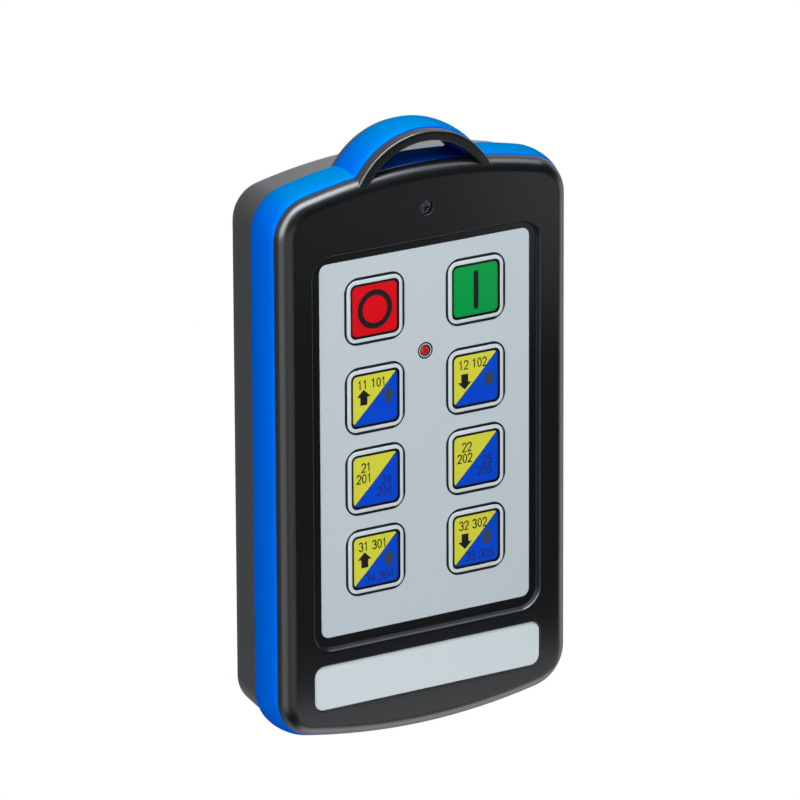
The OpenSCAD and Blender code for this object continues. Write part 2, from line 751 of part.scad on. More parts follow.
// A round lead along a smooth curve, with its rings square to the curve
module lead(route) {
    spots = [for (i = [0:lead_rings]) bend(route, i/lead_rings)];
    ways = [for (i = [0:lead_rings])
        unit(spots[min(i+1, lead_rings)]-spots[max(i-1, 0)])];
    ring = [for (i = [0:lead_rings])
        let (side = unit(cross(ways[i], [0, 0, 1])), up = cross(side, ways[i]))
        for (k = [0:lead_sides-1]) let (a = 360*k/lead_sides)
            spots[i]+lead_r*(cos(a)*side+sin(a)*up)];
    last = lead_rings*lead_sides;
    polyhedron(ring, concat(
        [[for (k = [0:lead_sides-1]) k]],
        [for (i = [0:lead_rings-1], k = [0:lead_sides-1])
            let (j = (k+1)%lead_sides, a = i*lead_sides, b = a+lead_sides)
            [a+k, b+k, b+j, a+j]],
        [[for (k = [lead_sides-1:-1:0]) last+k]]));
}

module battery_lead(side) {
    x = snap_x+terminal_h+snap_back-lead_r-touch-(side+1)/2*lead_pitch;
    y = battery_y+snap_w/2;
    z = battery_mid_z+snap_h/8;
    x2 = header_x-side*lead_pitch/2;
    half = (plug_y-y)/2;
    lead([[x, y, z], [x, y+half, z], [x2, plug_y-half, plug_z], [x2, plug_y, plug_z]]);
}

module red_lead() color([0.8, 0.1, 0.1]) battery_lead(1);
module black_lead() color([0.05, 0.05, 0.05]) battery_lead(-1);

module lead_plug() color([0.9, 0.9, 0.86])
    translate([header_x-plug_w/2, plug_y, plug_z-plug_h/2]) cube([plug_w, plug_len, plug_h]);

module board_socket() color([0.85, 0.85, 0.8]) difference() {
    w = plug_w+2*(socket_room+socket_skin);
    block([w, header_len, header_h], [header_x, header_y, board_z-header_h]);
    translate([header_x-plug_w/2-socket_room, header_low_y-overrun, plug_z-plug_h/2-socket_room])
        cube([plug_w+2*socket_room, plug_in+overrun, plug_h+2*socket_room]);
}

module battery_pad() color([0.3, 0.3, 0.32])
    block([battery_len/2, battery_w/2, ceiling_z-battery_top-2*touch],
        [battery_x+battery_len/2, battery_y, battery_top+touch]);

module front_screw() color([0.6, 0.6, 0.62]) translate([0, front_screw_y, front_seat_z]) difference() {
    union() {
        cylinder(r = front_head_r, h = front_head_h);
        translate([0, 0, -front_shank]) cylinder(r = front_screw_r, h = front_shank);
    }
    translate([0, 0, front_head_h]) drive(front_head_r, front_head_h);
}

module front_insert() color([0.8, 0.65, 0.3])
    translate([0, front_screw_y, front_meet-front_insert_len]) difference() {
        cylinder(r = front_insert_r, h = front_insert_len);
        translate([0, 0, -overrun]) cylinder(r = front_screw_r+thread_gap, h = front_insert_len+2*overrun);
    }

module rear_screws() color([0.6, 0.6, 0.62]) at_case_screws() difference() {
    union() {
        translate([0, 0, head_sink]) cylinder(r = head_r, h = head_h);
        translate([0, 0, seat_z]) cylinder(r = case_screw_r, h = case_screw_len);
    }
    translate([0, 0, head_sink]) mirror([0, 0, 1]) drive(head_r, head_h);
}

module rear_inserts() color([0.8, 0.65, 0.3]) at_case_screws() difference() {
    translate([0, 0, boss_meet]) cylinder(r = insert_r, h = insert_len);
    translate([0, 0, boss_meet-overrun]) cylinder(r = case_screw_r+thread_gap, h = insert_len+2*overrun);
}

front_shell();
rear_shell();
seal_band();
keypad_sheet();
name_plate();
rear_plate();
stop_key();
start_key();
upper_left_key();
upper_right_key();
middle_left_key();
middle_right_key();
lower_left_key();
lower_right_key();
stop_plunger();
start_plunger();
upper_left_plunger();
upper_right_plunger();
middle_left_plunger();
middle_right_plunger();
lower_left_plunger();
lower_right_plunger();
switch_bases();
switch_covers();
switch_legs();
main_board();
board_screws();
status_lamp();
lamp_spacer();
lamp_wires();
controller_chip();
controller_legs();
radio_board();
radio_can();
radio_pins();
antenna();
crystal();
regulator();
capacitors();
resistors();
battery();
battery_terminals();
battery_snap();
red_lead();
black_lead();
lead_plug();
board_socket();
battery_pad();
front_screw();
front_insert();
rear_screws();
rear_inserts();
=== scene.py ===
import math
import bmesh
import bpy
import numpy as np
from mathutils import Matrix, Vector, geometry


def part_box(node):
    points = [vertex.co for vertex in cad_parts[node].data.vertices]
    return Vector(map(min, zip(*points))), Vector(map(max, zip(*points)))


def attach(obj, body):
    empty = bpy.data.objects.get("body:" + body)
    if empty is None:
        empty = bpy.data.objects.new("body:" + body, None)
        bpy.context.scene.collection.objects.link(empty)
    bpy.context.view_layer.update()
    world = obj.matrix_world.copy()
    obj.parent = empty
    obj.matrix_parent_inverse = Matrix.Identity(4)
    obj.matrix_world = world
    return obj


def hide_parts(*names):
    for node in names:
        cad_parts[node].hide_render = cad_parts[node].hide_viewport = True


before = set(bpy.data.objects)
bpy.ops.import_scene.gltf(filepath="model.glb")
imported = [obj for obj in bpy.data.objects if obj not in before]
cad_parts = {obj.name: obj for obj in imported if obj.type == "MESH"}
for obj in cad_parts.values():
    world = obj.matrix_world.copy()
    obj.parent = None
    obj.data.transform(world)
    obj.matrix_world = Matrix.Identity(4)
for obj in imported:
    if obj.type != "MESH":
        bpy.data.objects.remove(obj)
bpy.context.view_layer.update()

# Sizes below are millimetres, X across the keys, Y towards the loop, Z out of the key face
mm = 0.001


def corners(node):
    # lowest and highest corner of a CAD node, in millimetres
    return [np.array(corner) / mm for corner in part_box(node)]


frontLow, frontHigh = corners("front_shell")
bandLow, bandHigh = corners("seal_band")
sheetLow, sheetHigh = corners("keypad_sheet")
plateLow, plateHigh = corners("name_plate")
backPlateLow, backPlateHigh = corners("rear_plate")
lampLow, lampHigh = corners("status_lamp")
frontScrewLow, frontScrewHigh = corners("front_screw")
rearScrewLow, rearScrewHigh = corners("rear_screws")
boardScrewLow, boardScrewHigh = corners("board_screws")
boardTop, rearInsertTop = corners("main_board")[1][2], corners("rear_inserts")[1][2]
frontInsertBase = corners("front_insert")[0][2]

case = dict(length=139.1, corner=10, topArc=142, bottomArc=165, wall=2.2, taper=1.65,
            endSteps=96, cornerSteps=20, sideSteps=10, support=0.3)
halfW, bottomY, faceZ = frontHigh[0], frontLow[1], frontHigh[2]
crestY = bottomY + case["length"]
bandBase, bandTop = bandLow[2], bandHigh[2]
pocketFloor = sheetLow[2]
sheetY = (sheetLow[1] + sheetHigh[1]) / 2
plateY = (plateLow[1] + plateHigh[1]) / 2
lampY = (lampLow[1] + lampHigh[1]) / 2
screwY = (frontScrewLow[1] + frontScrewHigh[1]) / 2

keyNames = ["stop", "start", "upper_left", "upper_right",
            "middle_left", "middle_right", "lower_left", "lower_right"]
keyPlaces = {name: sum(corners(name + "_key")) / 2 for name in keyNames}

# Doubles nearer than merge become one point, edges under sliver go, and plane is a flat shape's tolerance
meshLook = dict(merge=0.002, sliver=0.0005, plane=1e-5)
# Number of straight pieces in each kind of round
facets = dict(circle=40, screw=48, boardPost=32, lampRing=56, ringPrint=72, plateCorner=12, pocketCorner=14,
              filmCorner=10, padCorner=8, smallEdge=4)


# Loops: points round a closed line, with the normal that points out of it at each point

def arc(centre, radius, start, end, steps):
    # centre + radius * (cos, sin) of angles spread evenly from start to end
    turn = np.linspace(start, end, steps + 1)
    away = np.stack([np.cos(turn), np.sin(turn)], 1)
    return np.array(centre) + radius * away, away


def caseLoop():
    # crest arc, left corner, left side, left corner, bottom arc, and the same up the right
    side, corner, pi = halfW - case["corner"], case["corner"], math.pi
    topC, lowC = crestY - case["topArc"], bottomY + case["bottomArc"]
    topY = topC + math.sqrt((case["topArc"] - corner) ** 2 - side ** 2)
    lowY = lowC - math.sqrt((case["bottomArc"] - corner) ** 2 - side ** 2)
    a, b = math.atan2(topY - topC, side), math.atan2(lowC - lowY, side)
    ends, turns = case["endSteps"], case["cornerSteps"]
    straight = np.linspace(topY, lowY, case["sideSteps"] + 1)[1:-1]
    left = np.stack([np.full(len(straight), -halfW), straight], 1)
    right = np.stack([np.full(len(straight), halfW), straight[::-1]], 1)
    outward = np.tile([1.0, 0.0], (len(straight), 1))
    runs = [arc((0, topC), case["topArc"], a, pi - a, ends), arc((-side, topY), corner, pi - a, pi, turns),
            (left, -outward), arc((-side, lowY), corner, pi, pi + b, turns),
            arc((0, lowC), case["bottomArc"], pi + b, 2 * pi - b, ends),
            arc((side, lowY), corner, 2 * pi - b, 2 * pi, turns), (right, outward),
            arc((side, topY), corner, 0, a, turns)]
    whole = {1, 2, 5, 6}
    points = np.vstack([run[0] if i in whole else run[0][:-1] for i, run in enumerate(runs)])
    normals = np.vstack([run[1] if i in whole else run[1][:-1] for i, run in enumerate(runs)])
    return points, normals


def roundedLoop(centre, half, radius, steps=10):
    # a rectangle of half sizes with four round corners
    x, y = half[0] - radius, half[1] - radius
    runs = [arc((centre[0] + sx * x, centre[1] + sy * y), radius, start, start + math.pi / 2, steps)
            for sx, sy, start in [(1, 1, 0), (-1, 1, math.pi / 2), (-1, -1, math.pi), (1, -1, 1.5 * math.pi)]]
    return np.vstack([run[0] for run in runs]), np.vstack([run[1] for run in runs])


def pointLoop(centre, steps):
    # every point is the centre, so an outset is a radius
    points, normals = arc(centre, 0, 0, 2 * math.pi, steps)
    return points[:-1], normals[:-1]


def moved(loop, outset):
    return loop[0] + outset * loop[1]


# Parts: points in millimetres, faces, and a number for the material

def gridPart(grid, material=0, aroundToo=True, acrossToo=False):
    # quads between the neighbours of a grid, closed round and across where asked
    rows, columns = grid.shape[:2]
    index = np.arange(rows * columns).reshape(rows, columns)
    if acrossToo:
        index = np.vstack([index, index[:1]])
    if aroundToo:
        index = np.hstack([index, index[:, :1]])
    quads = np.stack([index[:-1, :-1], index[:-1, 1:], index[1:, 1:], index[1:, :-1]], -1)
    return grid.reshape(-1, 3), quads.reshape(-1, 4).tolist(), material


def sweep(loop, profile, material=0, closed=False):
    # loop point + outset * loop normal, at the profile's height, for each (outset, height) of the profile
    profile = np.asarray(profile, float)
    if profile.ndim == 2:
        profile = profile[:, None, :]
    points, normals = loop
    flat = points[None] + profile[..., :1] * normals[None]
    height = np.broadcast_to(profile[..., 1:], flat.shape[:2] + (1,))
    return gridPart(np.concatenate([flat, height], 2), material, acrossToo=closed)


def inside(spots, line):
    # a spot is inside a closed line if a ray from it crosses the line an odd number of times
    x, y = spots[:, 0, None], spots[:, 1, None]
    ax, ay = line[:, 0], line[:, 1]
    bx, by = np.roll(ax, -1), np.roll(ay, -1)
    spans = (ay > y) != (by > y)
    rise = np.where(by == ay, 1.0, by - ay)
    return (spans & (x < ax + (y - ay) * (bx - ax) / rise)).sum(1) % 2 == 1


def panel(height, outer, holes=(), material=0):
    # flat triangles between an outer line and its holes
    lines = [np.asarray(outer), *[np.asarray(hole) for hole in holes]]
    starts = np.cumsum([0] + [len(line) for line in lines])
    edges = [(int(s + i), int(s + (i + 1) % len(line))) for s, line in zip(starts, lines)
             for i in range(len(line))]
    made = geometry.delaunay_2d_cdt([Vector(p) for p in np.vstack(lines)], edges, [], 1, meshLook["plane"])
    flat = np.array([p[:] for p in made[0]])
    faces = np.array([list(f) for f in made[2]])
    centres = flat[faces].mean(1)
    kept = inside(centres, lines[0])
    for hole in lines[1:]:
        kept &= ~inside(centres, hole)
    return np.column_stack([flat, np.full(len(flat), height)]), faces[kept].tolist(), material


def archPart(centre, profile, start, end, steps=72):
    # a closed (radius, height) profile turned about the centre from start to end, with flat ends
    turn = np.radians(np.linspace(start, end, steps + 1))
    radius, height = np.repeat(np.array(profile, float).T[:, :, None], steps + 1, 2)
    grid = np.stack([centre[0] + radius * np.cos(turn), centre[1] + radius * np.sin(turn), height], 2)
    points, faces, material = gridPart(grid, aroundToo=False, acrossToo=True)
    columns = steps + 1
    caps = [[row * columns + column for row in range(len(grid))] for column in (0, steps)]
    return points, faces + caps, material


def inkPart(lines, surface, rise=0.03, sink=0.03, material=0):
    # printed shape: flat triangles lifted onto a surface, closed below and round its edges
    points, faces, material = panel(0, lines[0], lines[1:], material)
    base = surface(points[:, 0], points[:, 1])
    top, low = points.copy(), points.copy()
    top[:, 2], low[:, 2] = base + rise, base - sink
    parts = [(top, faces, material), (low, faces, material)]
    for line in lines:
        line = np.asarray(line)
        edge = surface(line[:, 0], line[:, 1])
        rows = [np.column_stack([line, edge + rise]), np.column_stack([line, edge - sink])]
        parts.append(gridPart(np.stack(rows), material))
    return parts


def makePiece(name, parts, materials, body, slot, replaced=(), sharp=34):
    # one mesh of all the parts: doubles merged, normals outward, smooth up to the sharp angle
    points, faces, numbers, start = [], [], [], 0
    for partPoints, partFaces, material in parts:
        points.append(partPoints)
        faces += [[start + i for i in face] for face in partFaces]
        numbers += [material] * len(partFaces)
        start += len(partPoints)
    mesh = bpy.data.meshes.new(name)
    mesh.from_pydata((np.vstack(points) * mm).tolist(), [], faces)
    mesh.polygons.foreach_set("material_index", np.array(numbers, np.int32))
    work = bmesh.new()
    work.from_mesh(mesh)
    bmesh.ops.remove_doubles(work, verts=work.verts, dist=meshLook["merge"] * mm)
    bmesh.ops.dissolve_degenerate(work, edges=work.edges, dist=meshLook["sliver"] * mm)
    bmesh.ops.recalc_face_normals(work, faces=work.faces)
    work.to_mesh(mesh)
    work.free()
    mesh.shade_smooth()
    mesh.set_sharp_from_angle(angle=math.radians(sharp))
    for material in materials:
        mesh.materials.append(material)
    piece = bpy.data.objects.new(name, mesh)
    bpy.context.scene.collection.objects.link(piece)
    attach(piece, body)
    if replaced:
        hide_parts(*replaced)
    return piece


def quarter(centre, radius, start, end, steps):
    # points of a round edge in a profile, from one angle to another
    turn = np.radians(np.linspace(start, end, steps + 1))
    return [(centre[0] + radius * math.cos(t), centre[1] + radius * math.sin(t)) for t in turn]


# Finishes

def addNode(tree, kind, **values):
    # a node with its settings; sockets holds the values of its inputs
    made = tree.nodes.new(kind)
    for key, value in values.items():
        if key == "sockets":
            for label, content in value.items():
                made.inputs[label].default_value = content
        else:
            setattr(made, key, value)
    return made


def newGroup(name, inputs, outputs):
    tree = bpy.data.node_groups.new(name, "ShaderNodeTree")
    for label, content in inputs.items():
        kind = "NodeSocketColor" if isinstance(content, tuple) else "NodeSocketFloat"
        socket = tree.interface.new_socket(label, in_out="INPUT", socket_type=kind)
        socket.default_value = content
    for label, kind in outputs.items():
        tree.interface.new_socket(label, in_out="OUTPUT", socket_type=kind)
    return tree, tree.nodes.new("NodeGroupInput"), tree.nodes.new("NodeGroupOutput")


def mathNode(tree, operation, *terms):
    # a Math node whose terms are numbers or the outputs of other nodes
    made = addNode(tree, "ShaderNodeMath", operation=operation)
    for socket, term in zip(made.inputs, terms):
        if isinstance(term, float):
            socket.default_value = term
        else:
            tree.links.new(term, socket)
    return made.outputs[0]


def scaledTone(tree, tone, share):
    scaled = addNode(tree, "ShaderNodeVectorMath", operation="SCALE")
    tree.links.new(tone, scaled.inputs[0])
    tree.links.new(share, scaled.inputs["Scale"])
    return scaled.outputs["Vector"]


def noiseNode(tree, place, scale, *, detail, roughness):
    noise = addNode(tree, "ShaderNodeTexNoise", sockets={"Detail": detail, "Roughness": roughness})
    tree.links.new(place, noise.inputs["Vector"])
    tree.links.new(scale, noise.inputs["Scale"])
    return noise.outputs["Fac"]


finishOutputs = {"Colour": "NodeSocketColor", "Roughness": "NodeSocketFloat", "Height": "NodeSocketFloat"}


def mouldedGrainGroup():
    # slow drift of tone and gloss, with a fine grain in tone, gloss and height
    tree, given, out = newGroup(
        "moulded grain",
        {"Tone": (0.5, 0.5, 0.5, 1.0), "Tone drift": 0.1, "Speckle": 0.1, "Gloss": 0.4, "Gloss drift": 0.1,
         "Drift scale": 60.0, "Grain scale": 2500.0},
        finishOutputs)
    given = given.outputs
    place = addNode(tree, "ShaderNodeTexCoord").outputs["Object"]
    drift = noiseNode(tree, place, given["Drift scale"], detail=3.0, roughness=0.55)
    grain = noiseNode(tree, place, given["Grain scale"], detail=2.0, roughness=0.6)

    def centred(source, amount):
        return mathNode(tree, "MULTIPLY", mathNode(tree, "SUBTRACT", source, 0.5), amount)

    tone = mathNode(tree, "ADD", centred(drift, given["Tone drift"]), centred(grain, given["Speckle"]))
    gloss = mathNode(tree, "ADD", given["Gloss"], centred(drift, given["Gloss drift"]))
    colour = scaledTone(tree, given["Tone"], mathNode(tree, "ADD", tone, 1.0))
    for label, source in (("Colour", colour), ("Roughness", gloss), ("Height", grain)):
        tree.links.new(source, out.inputs[label])
    return tree


drawnLook = dict(stretch=(1.0, 12.0, 6.0), darkest=0.92)


def brushedGroup():
    # fine drawn lines along one way, for turned and rolled metal: tone * (darkest + noise * line tone)
    tree, given, out = newGroup(
        "drawn lines",
        {"Tone": (0.6, 0.6, 0.6, 1.0), "Line tone": 0.15, "Gloss": 0.3, "Gloss spread": 0.2, "Lines": 900.0},
        finishOutputs)
    given = given.outputs
    stretch = addNode(tree, "ShaderNodeMapping", sockets={"Scale": drawnLook["stretch"]})
    tree.links.new(addNode(tree, "ShaderNodeTexCoord").outputs["Object"], stretch.inputs["Vector"])
    noise = noiseNode(tree, stretch.outputs["Vector"], given["Lines"], detail=4.0, roughness=0.6)
    share = mathNode(tree, "MULTIPLY_ADD", noise, given["Line tone"], drawnLook["darkest"])
    gloss = mathNode(tree, "MULTIPLY_ADD", noise, given["Gloss spread"], given["Gloss"])
    colour = scaledTone(tree, given["Tone"], share)
    for label, source in (("Colour", colour), ("Roughness", gloss), ("Height", noise)):
        tree.links.new(source, out.inputs[label])
    return tree


def witnessGroup():
    # a hairline across the case at one height, outside the keypad's pocket; lengths in metres
    tree, given, out = newGroup(
        "mould witness", {"Along": 0.0, "Width": 0.00010, "Beyond": 0.0325, "Deep": 8.0},
        {"Mask": "NodeSocketFloat"})
    given = given.outputs
    place = addNode(tree, "ShaderNodeSeparateXYZ")
    tree.links.new(addNode(tree, "ShaderNodeTexCoord").outputs["Object"], place.inputs[0])
    side = mathNode(tree, "ABSOLUTE", place.outputs["X"])
    outside = mathNode(tree, "GREATER_THAN", side, given["Beyond"])
    near = mathNode(tree, "COMPARE", place.outputs["Y"], given["Along"], given["Width"])
    deep = mathNode(tree, "MULTIPLY", mathNode(tree, "MULTIPLY", outside, near), given["Deep"])
    tree.links.new(deep, out.inputs["Mask"])
    return tree


mouldedGrain, drawnLines, mouldWitness = mouldedGrainGroup(), brushedGroup(), witnessGroup()


def addRelief(tree, height, strength, reach):
    # bump of a height into the shader's normal; reach is in metres
    relief = addNode(tree, "ShaderNodeBump", sockets={"Strength": strength, "Distance": reach})
    tree.links.new(height, relief.inputs["Height"])
    tree.links.new(relief.outputs["Normal"], tree.nodes["Principled BSDF"].inputs["Normal"])


def effectOf(material):
    return next(node for node in material.node_tree.nodes if node.type == "GROUP")


reliefReach = dict(plastic=0.00002, metal=0.000008, shell=0.00003)


def finish(name, group, look, bump, bumpReach, **shader):
    # a Principled shader whose colour, roughness and bump come from one of the groups
    material = bpy.data.materials.new(name)
    material.use_nodes = True
    tree = material.node_tree
    face = tree.nodes["Principled BSDF"]
    for label, value in shader.items():
        face.inputs[label.replace("_", " ")].default_value = value
    effect = addNode(tree, "ShaderNodeGroup", node_tree=group, sockets=look)
    tree.links.new(effect.outputs["Colour"], face.inputs["Base Color"])
    tree.links.new(effect.outputs["Roughness"], face.inputs["Roughness"])
    if bump:
        addRelief(tree, effect.outputs["Height"], bump, bumpReach)
    return material


def plastic(name, tone, gloss, bump=0.0, toneDrift=0.08, speckle=0.08, glossDrift=0.08, grain=2500.0,
            **shader):
    look = {"Tone": (*tone, 1.0), "Tone drift": toneDrift, "Speckle": speckle, "Gloss": gloss,
            "Gloss drift": glossDrift, "Grain scale": grain}
    return finish(name, mouldedGrain, look, bump, reliefReach["plastic"], **shader)


def metal(name, tone, gloss, lines=900.0, bump=0.15):
    look = {"Tone": (*tone, 1.0), "Gloss": gloss, "Lines": lines}
    return finish(name, drawnLines, look, bump, reliefReach["metal"], Metallic=1.0)


shellLook = dict(tone=(0.0018, 0.0026, 0.0036), gloss=0.30, grain=2300.0, bump=0.20,
                 witnesses=(39.4, -20.6, -25.6), specular=0.48)


def shellFinish():
    # the shells' satin plastic, with three mould lines pressed beside the pocket
    material = plastic("satin shell plastic", shellLook["tone"], shellLook["gloss"], toneDrift=0.12,
                       speckle=0.35, glossDrift=0.06, grain=shellLook["grain"],
                       Specular_IOR_Level=shellLook["specular"])
    tree = material.node_tree
    height = effectOf(material).outputs["Height"]
    for along in shellLook["witnesses"]:
        line = addNode(tree, "ShaderNodeGroup", node_tree=mouldWitness, sockets={"Along": along * mm})
        height = mathNode(tree, "SUBTRACT", height, line.outputs["Mask"])
    addRelief(tree, height, shellLook["bump"], reliefReach["shell"])
    return material


shellPlastic = shellFinish()
pocketPlastic = plastic("matt pocket wall", shellLook["tone"], 0.55, speckle=0.3, glossDrift=0.10,
                        Specular_IOR_Level=0.18)
# the rubber's own tone, then a paler tone painted as sheen where it faces the crest end, and a darker tone
# painted as shade inside the loop
sealLook = dict(side=(0.0, 0.128, 0.74, 1.0), crest=(0.0, 0.28, 0.74, 1.0), paintedShadeTone=(0.0, 0.035, 0.30, 1.0),
                tint=(0.0, 1.0, 1.0, 1.0), gloss=0.42, specular=0.0, metallic=0.06)


def sealFinish():
    # blue rubber with a painted sheen, paler where it faces the crest end, and a painted shade, darker inside
    # the loop; two attributes say where
    material = plastic("blue seal rubber", sealLook["side"][:3], sealLook["gloss"], bump=0.05, toneDrift=0.05,
                       speckle=0.05, grain=1800.0, Metallic=sealLook["metallic"],
                       Specular_IOR_Level=sealLook["specular"], Specular_Tint=sealLook["tint"])
    tree = material.node_tree
    tone = None
    for name, colour in (("paintedSheen", sealLook["crest"]), ("paintedShade", sealLook["paintedShadeTone"])):
        share = addNode(tree, "ShaderNodeAttribute", attribute_name=name)
        mix = addNode(tree, "ShaderNodeMix", data_type="RGBA")
        mix.inputs[6].default_value, mix.inputs[7].default_value = sealLook["side"], colour
        if tone:
            tree.links.new(tone, mix.inputs[6])
        tree.links.new(share.outputs["Fac"], mix.inputs[0])
        tone = mix.outputs[2]
    tree.links.new(tone, effectOf(material).inputs["Tone"])
    return material


sealRubber = sealFinish()
paleFilm = dict(toneDrift=0.03, speckle=0.02, Specular_IOR_Level=0.35)
keypadFilm = plastic("pale keypad film", (0.515, 0.590, 0.630), 0.42, 0.04, grain=3200.0, **paleFilm)
rimFilm = plastic("raised film rim", (0.58, 0.65, 0.685), 0.42, 0.03, **paleFilm)
plateSatin = plastic("bare plate satin", (0.64, 0.71, 0.745), 0.40, 0.03, grain=3000.0, **paleFilm)
ink = dict(toneDrift=0.1, Specular_IOR_Level=0.3)
# black print, also laid on the walls of the gaps round the pads and the lamp as painted shade
blackPrintAndShade = plastic("black print and painted shade", (0.006, 0.006, 0.008), 0.42, speckle=0.2, **ink)
navyInk = plastic("navy print", (0.004, 0.02, 0.14), 0.45, speckle=0.1, **ink)
greyInk = plastic("grey print", (0.030, 0.050, 0.085), 0.45, speckle=0.1, **ink)
keyFilm = dict(gloss=0.32, bump=0.05, toneDrift=0.05, speckle=0.03, Specular_IOR_Level=0.2)
redFilm = plastic("red key film", (0.665, 0.003, 0.008), **keyFilm)
greenFilm = plastic("green key film", (0.0, 0.31, 0.058), **keyFilm)
yellowFilm = plastic("yellow key film", (0.63, 0.625, 0.051), **keyFilm)
blueFilm = plastic("blue key film", (0.0, 0.062, 0.62), **keyFilm)
lensRed = plastic("red lamp lens", (0.42, 0.004, 0.010), 0.22, toneDrift=0.05, speckle=0.02, Coat_Weight=0.2,
                  Coat_Roughness=0.1)
blackPlastic = plastic("black part plastic", (0.014, 0.014, 0.015), 0.45, bump=0.1, speckle=0.2)
boardGreen = plastic("green board resist", (0.015, 0.17, 0.05), 0.28, bump=0.1, toneDrift=0.2, grain=1200.0)
boardBlue = plastic("blue board resist", (0.015, 0.07, 0.27), 0.28, bump=0.1, toneDrift=0.2, grain=1200.0)
jacketPaint = plastic("battery jacket print", (0.04, 0.05, 0.09), 0.30, bump=0.05, toneDrift=0.1)
nylonWhite = plastic("natural nylon", (0.72, 0.71, 0.66), 0.5, bump=0.1)
foamGrey = plastic("closed cell foam", (0.07, 0.07, 0.08), 0.9, bump=0.9, speckle=0.6, grain=1500.0)
redLead = plastic("red lead insulation", (0.55, 0.01, 0.01), 0.4, bump=0.05)
blackLead = plastic("black lead insulation", (0.015, 0.015, 0.015), 0.4, bump=0.05)
tinnedSteel = metal("tinned steel", (0.68, 0.69, 0.71), 0.28)
studSteel = metal("plated press stud", (0.78, 0.77, 0.74), 0.18)
screwSteel = metal("zinc screw steel", (0.60, 0.61, 0.63), 0.24, lines=1600.0)
giltMetal = metal("gilt contact", (0.86, 0.66, 0.28), 0.2)
copperMetal = metal("enamelled copper", (0.80, 0.40, 0.20), 0.25)
# blackened steel whose bright specks in the colour are painted glints
screwBlack = plastic("blackened steel with painted glints", (0.14, 0.147, 0.16), 0.2, toneDrift=0.3, speckle=3.4,
                     grain=1500.0, Metallic=1.0)
brassMetal = metal("turned brass", (0.74, 0.56, 0.24), 0.3, lines=1500.0)
print("finishes made")


# Camera and stage

photo = dict(size=800, focus=8470.29, turn=-31.97, rise=18.142, roll=-0.262, distance=1994.911,
             aside=6.018, above=-5.751, gridLift=1.625, labelPlane=25.0, sensor=36.0, clip=(0.05, 50))


def makeCamera():
    # the photograph's viewpoint, worked out on the upright case and then laid on its back with it
    turn, rise, roll = (math.radians(photo[k]) for k in ("turn", "rise", "roll"))
    back = np.array([math.sin(turn) * math.cos(rise), -math.cos(turn) * math.cos(rise), math.sin(rise)])
    right = np.array([math.cos(turn), math.sin(turn), 0.0])
    up = np.cross(back, right)
    axes = np.array([math.cos(roll) * right + math.sin(roll) * up,
                     -math.sin(roll) * right + math.cos(roll) * up, back])
    spot = axes.T @ np.array([-photo["aside"], -photo["above"], photo["distance"]])
    laid = np.array([[1, 0, 0], [0, 0, 1], [0, -1, 0]])
    columns = (axes @ laid.T).T
    spot = laid @ spot + np.array([0, photo["gridLift"], photo["labelPlane"]])
    data = bpy.data.cameras.new("photo camera")
    data.sensor_width = photo["sensor"]
    data.lens = photo["focus"] / photo["size"] * photo["sensor"]
    data.clip_start, data.clip_end = photo["clip"]
    camera = bpy.data.objects.new("photo camera", data)
    bpy.context.scene.collection.objects.link(camera)
    matrix = Matrix.Identity(4)
    for row in range(3):
        for column in range(3):
            matrix[row][column] = columns[row][column]
        matrix[row][3] = spot[row] * mm
    camera.matrix_world = matrix
    bpy.context.scene.camera = camera


# The floor's mirrored level rises along an axis of the case, from one place to another
stageLook = dict(floorHalf=4.0, floorDrop=0.1, floorTone=0.20, world=0.05, mirrored=0.40,
                 rises=(("Y", 48, 68, 1.05), ("X", 42, 60, 0.8), ("Y", -85, -130, 1.1)),
                 cool=(0.92, 0.96, 1.0, 1.0))
# Each lamp: where it stands, what it faces, width and height, power in watts, and the rays that see it
lamps = {
    "top softbox": ((-80, 680, 480), (0, 0, 20), (640, 420), 5.8, "diffuse"),
    "crest mirror": ((-105, 590, 155), (-105, 0, 155), (690, 310), 13.0, "glossy"),
    "crest side": ((535, 590, 155), (535, 0, 155), (330, 310), 1.9, "glossy"),
    "corner mirror": ((-575, 337, 190), (0, 34, 190), (536, 380), 8.5, "glossy"),
    "left wall": ((-720, -150, 300), (0, -30, 20), (900, 600), 3.6, "both"),
    "overhead": ((-260, -150, 800), (-100, -60, 20), (700, 600), 1.5, "both"),
    "front fill": ((-300, 250, 1300), (0, 0, 20), (1200, 1200), 3.5, "diffuse"),
    "toe wall": ((285, -560, 150), (285, 0, 150), (670, 300), 1.9, "glossy"),
    "toe mirror": ((20, -81, 50), (20, -65, 26), (110, 18), 0.0080, "glossy"),
    "right wall": ((600, -180, 125), (0, -180, 125), (400, 250), 0.63, "glossy"),
    "brow mirror": ((70, 28, 116), (70, 60, 26), (130, 36), 0.004, "glossy"),
    "right brow": ((115, 22, 116), (115, 54, 26), (80, 60), 0.009, "glossy"),
}


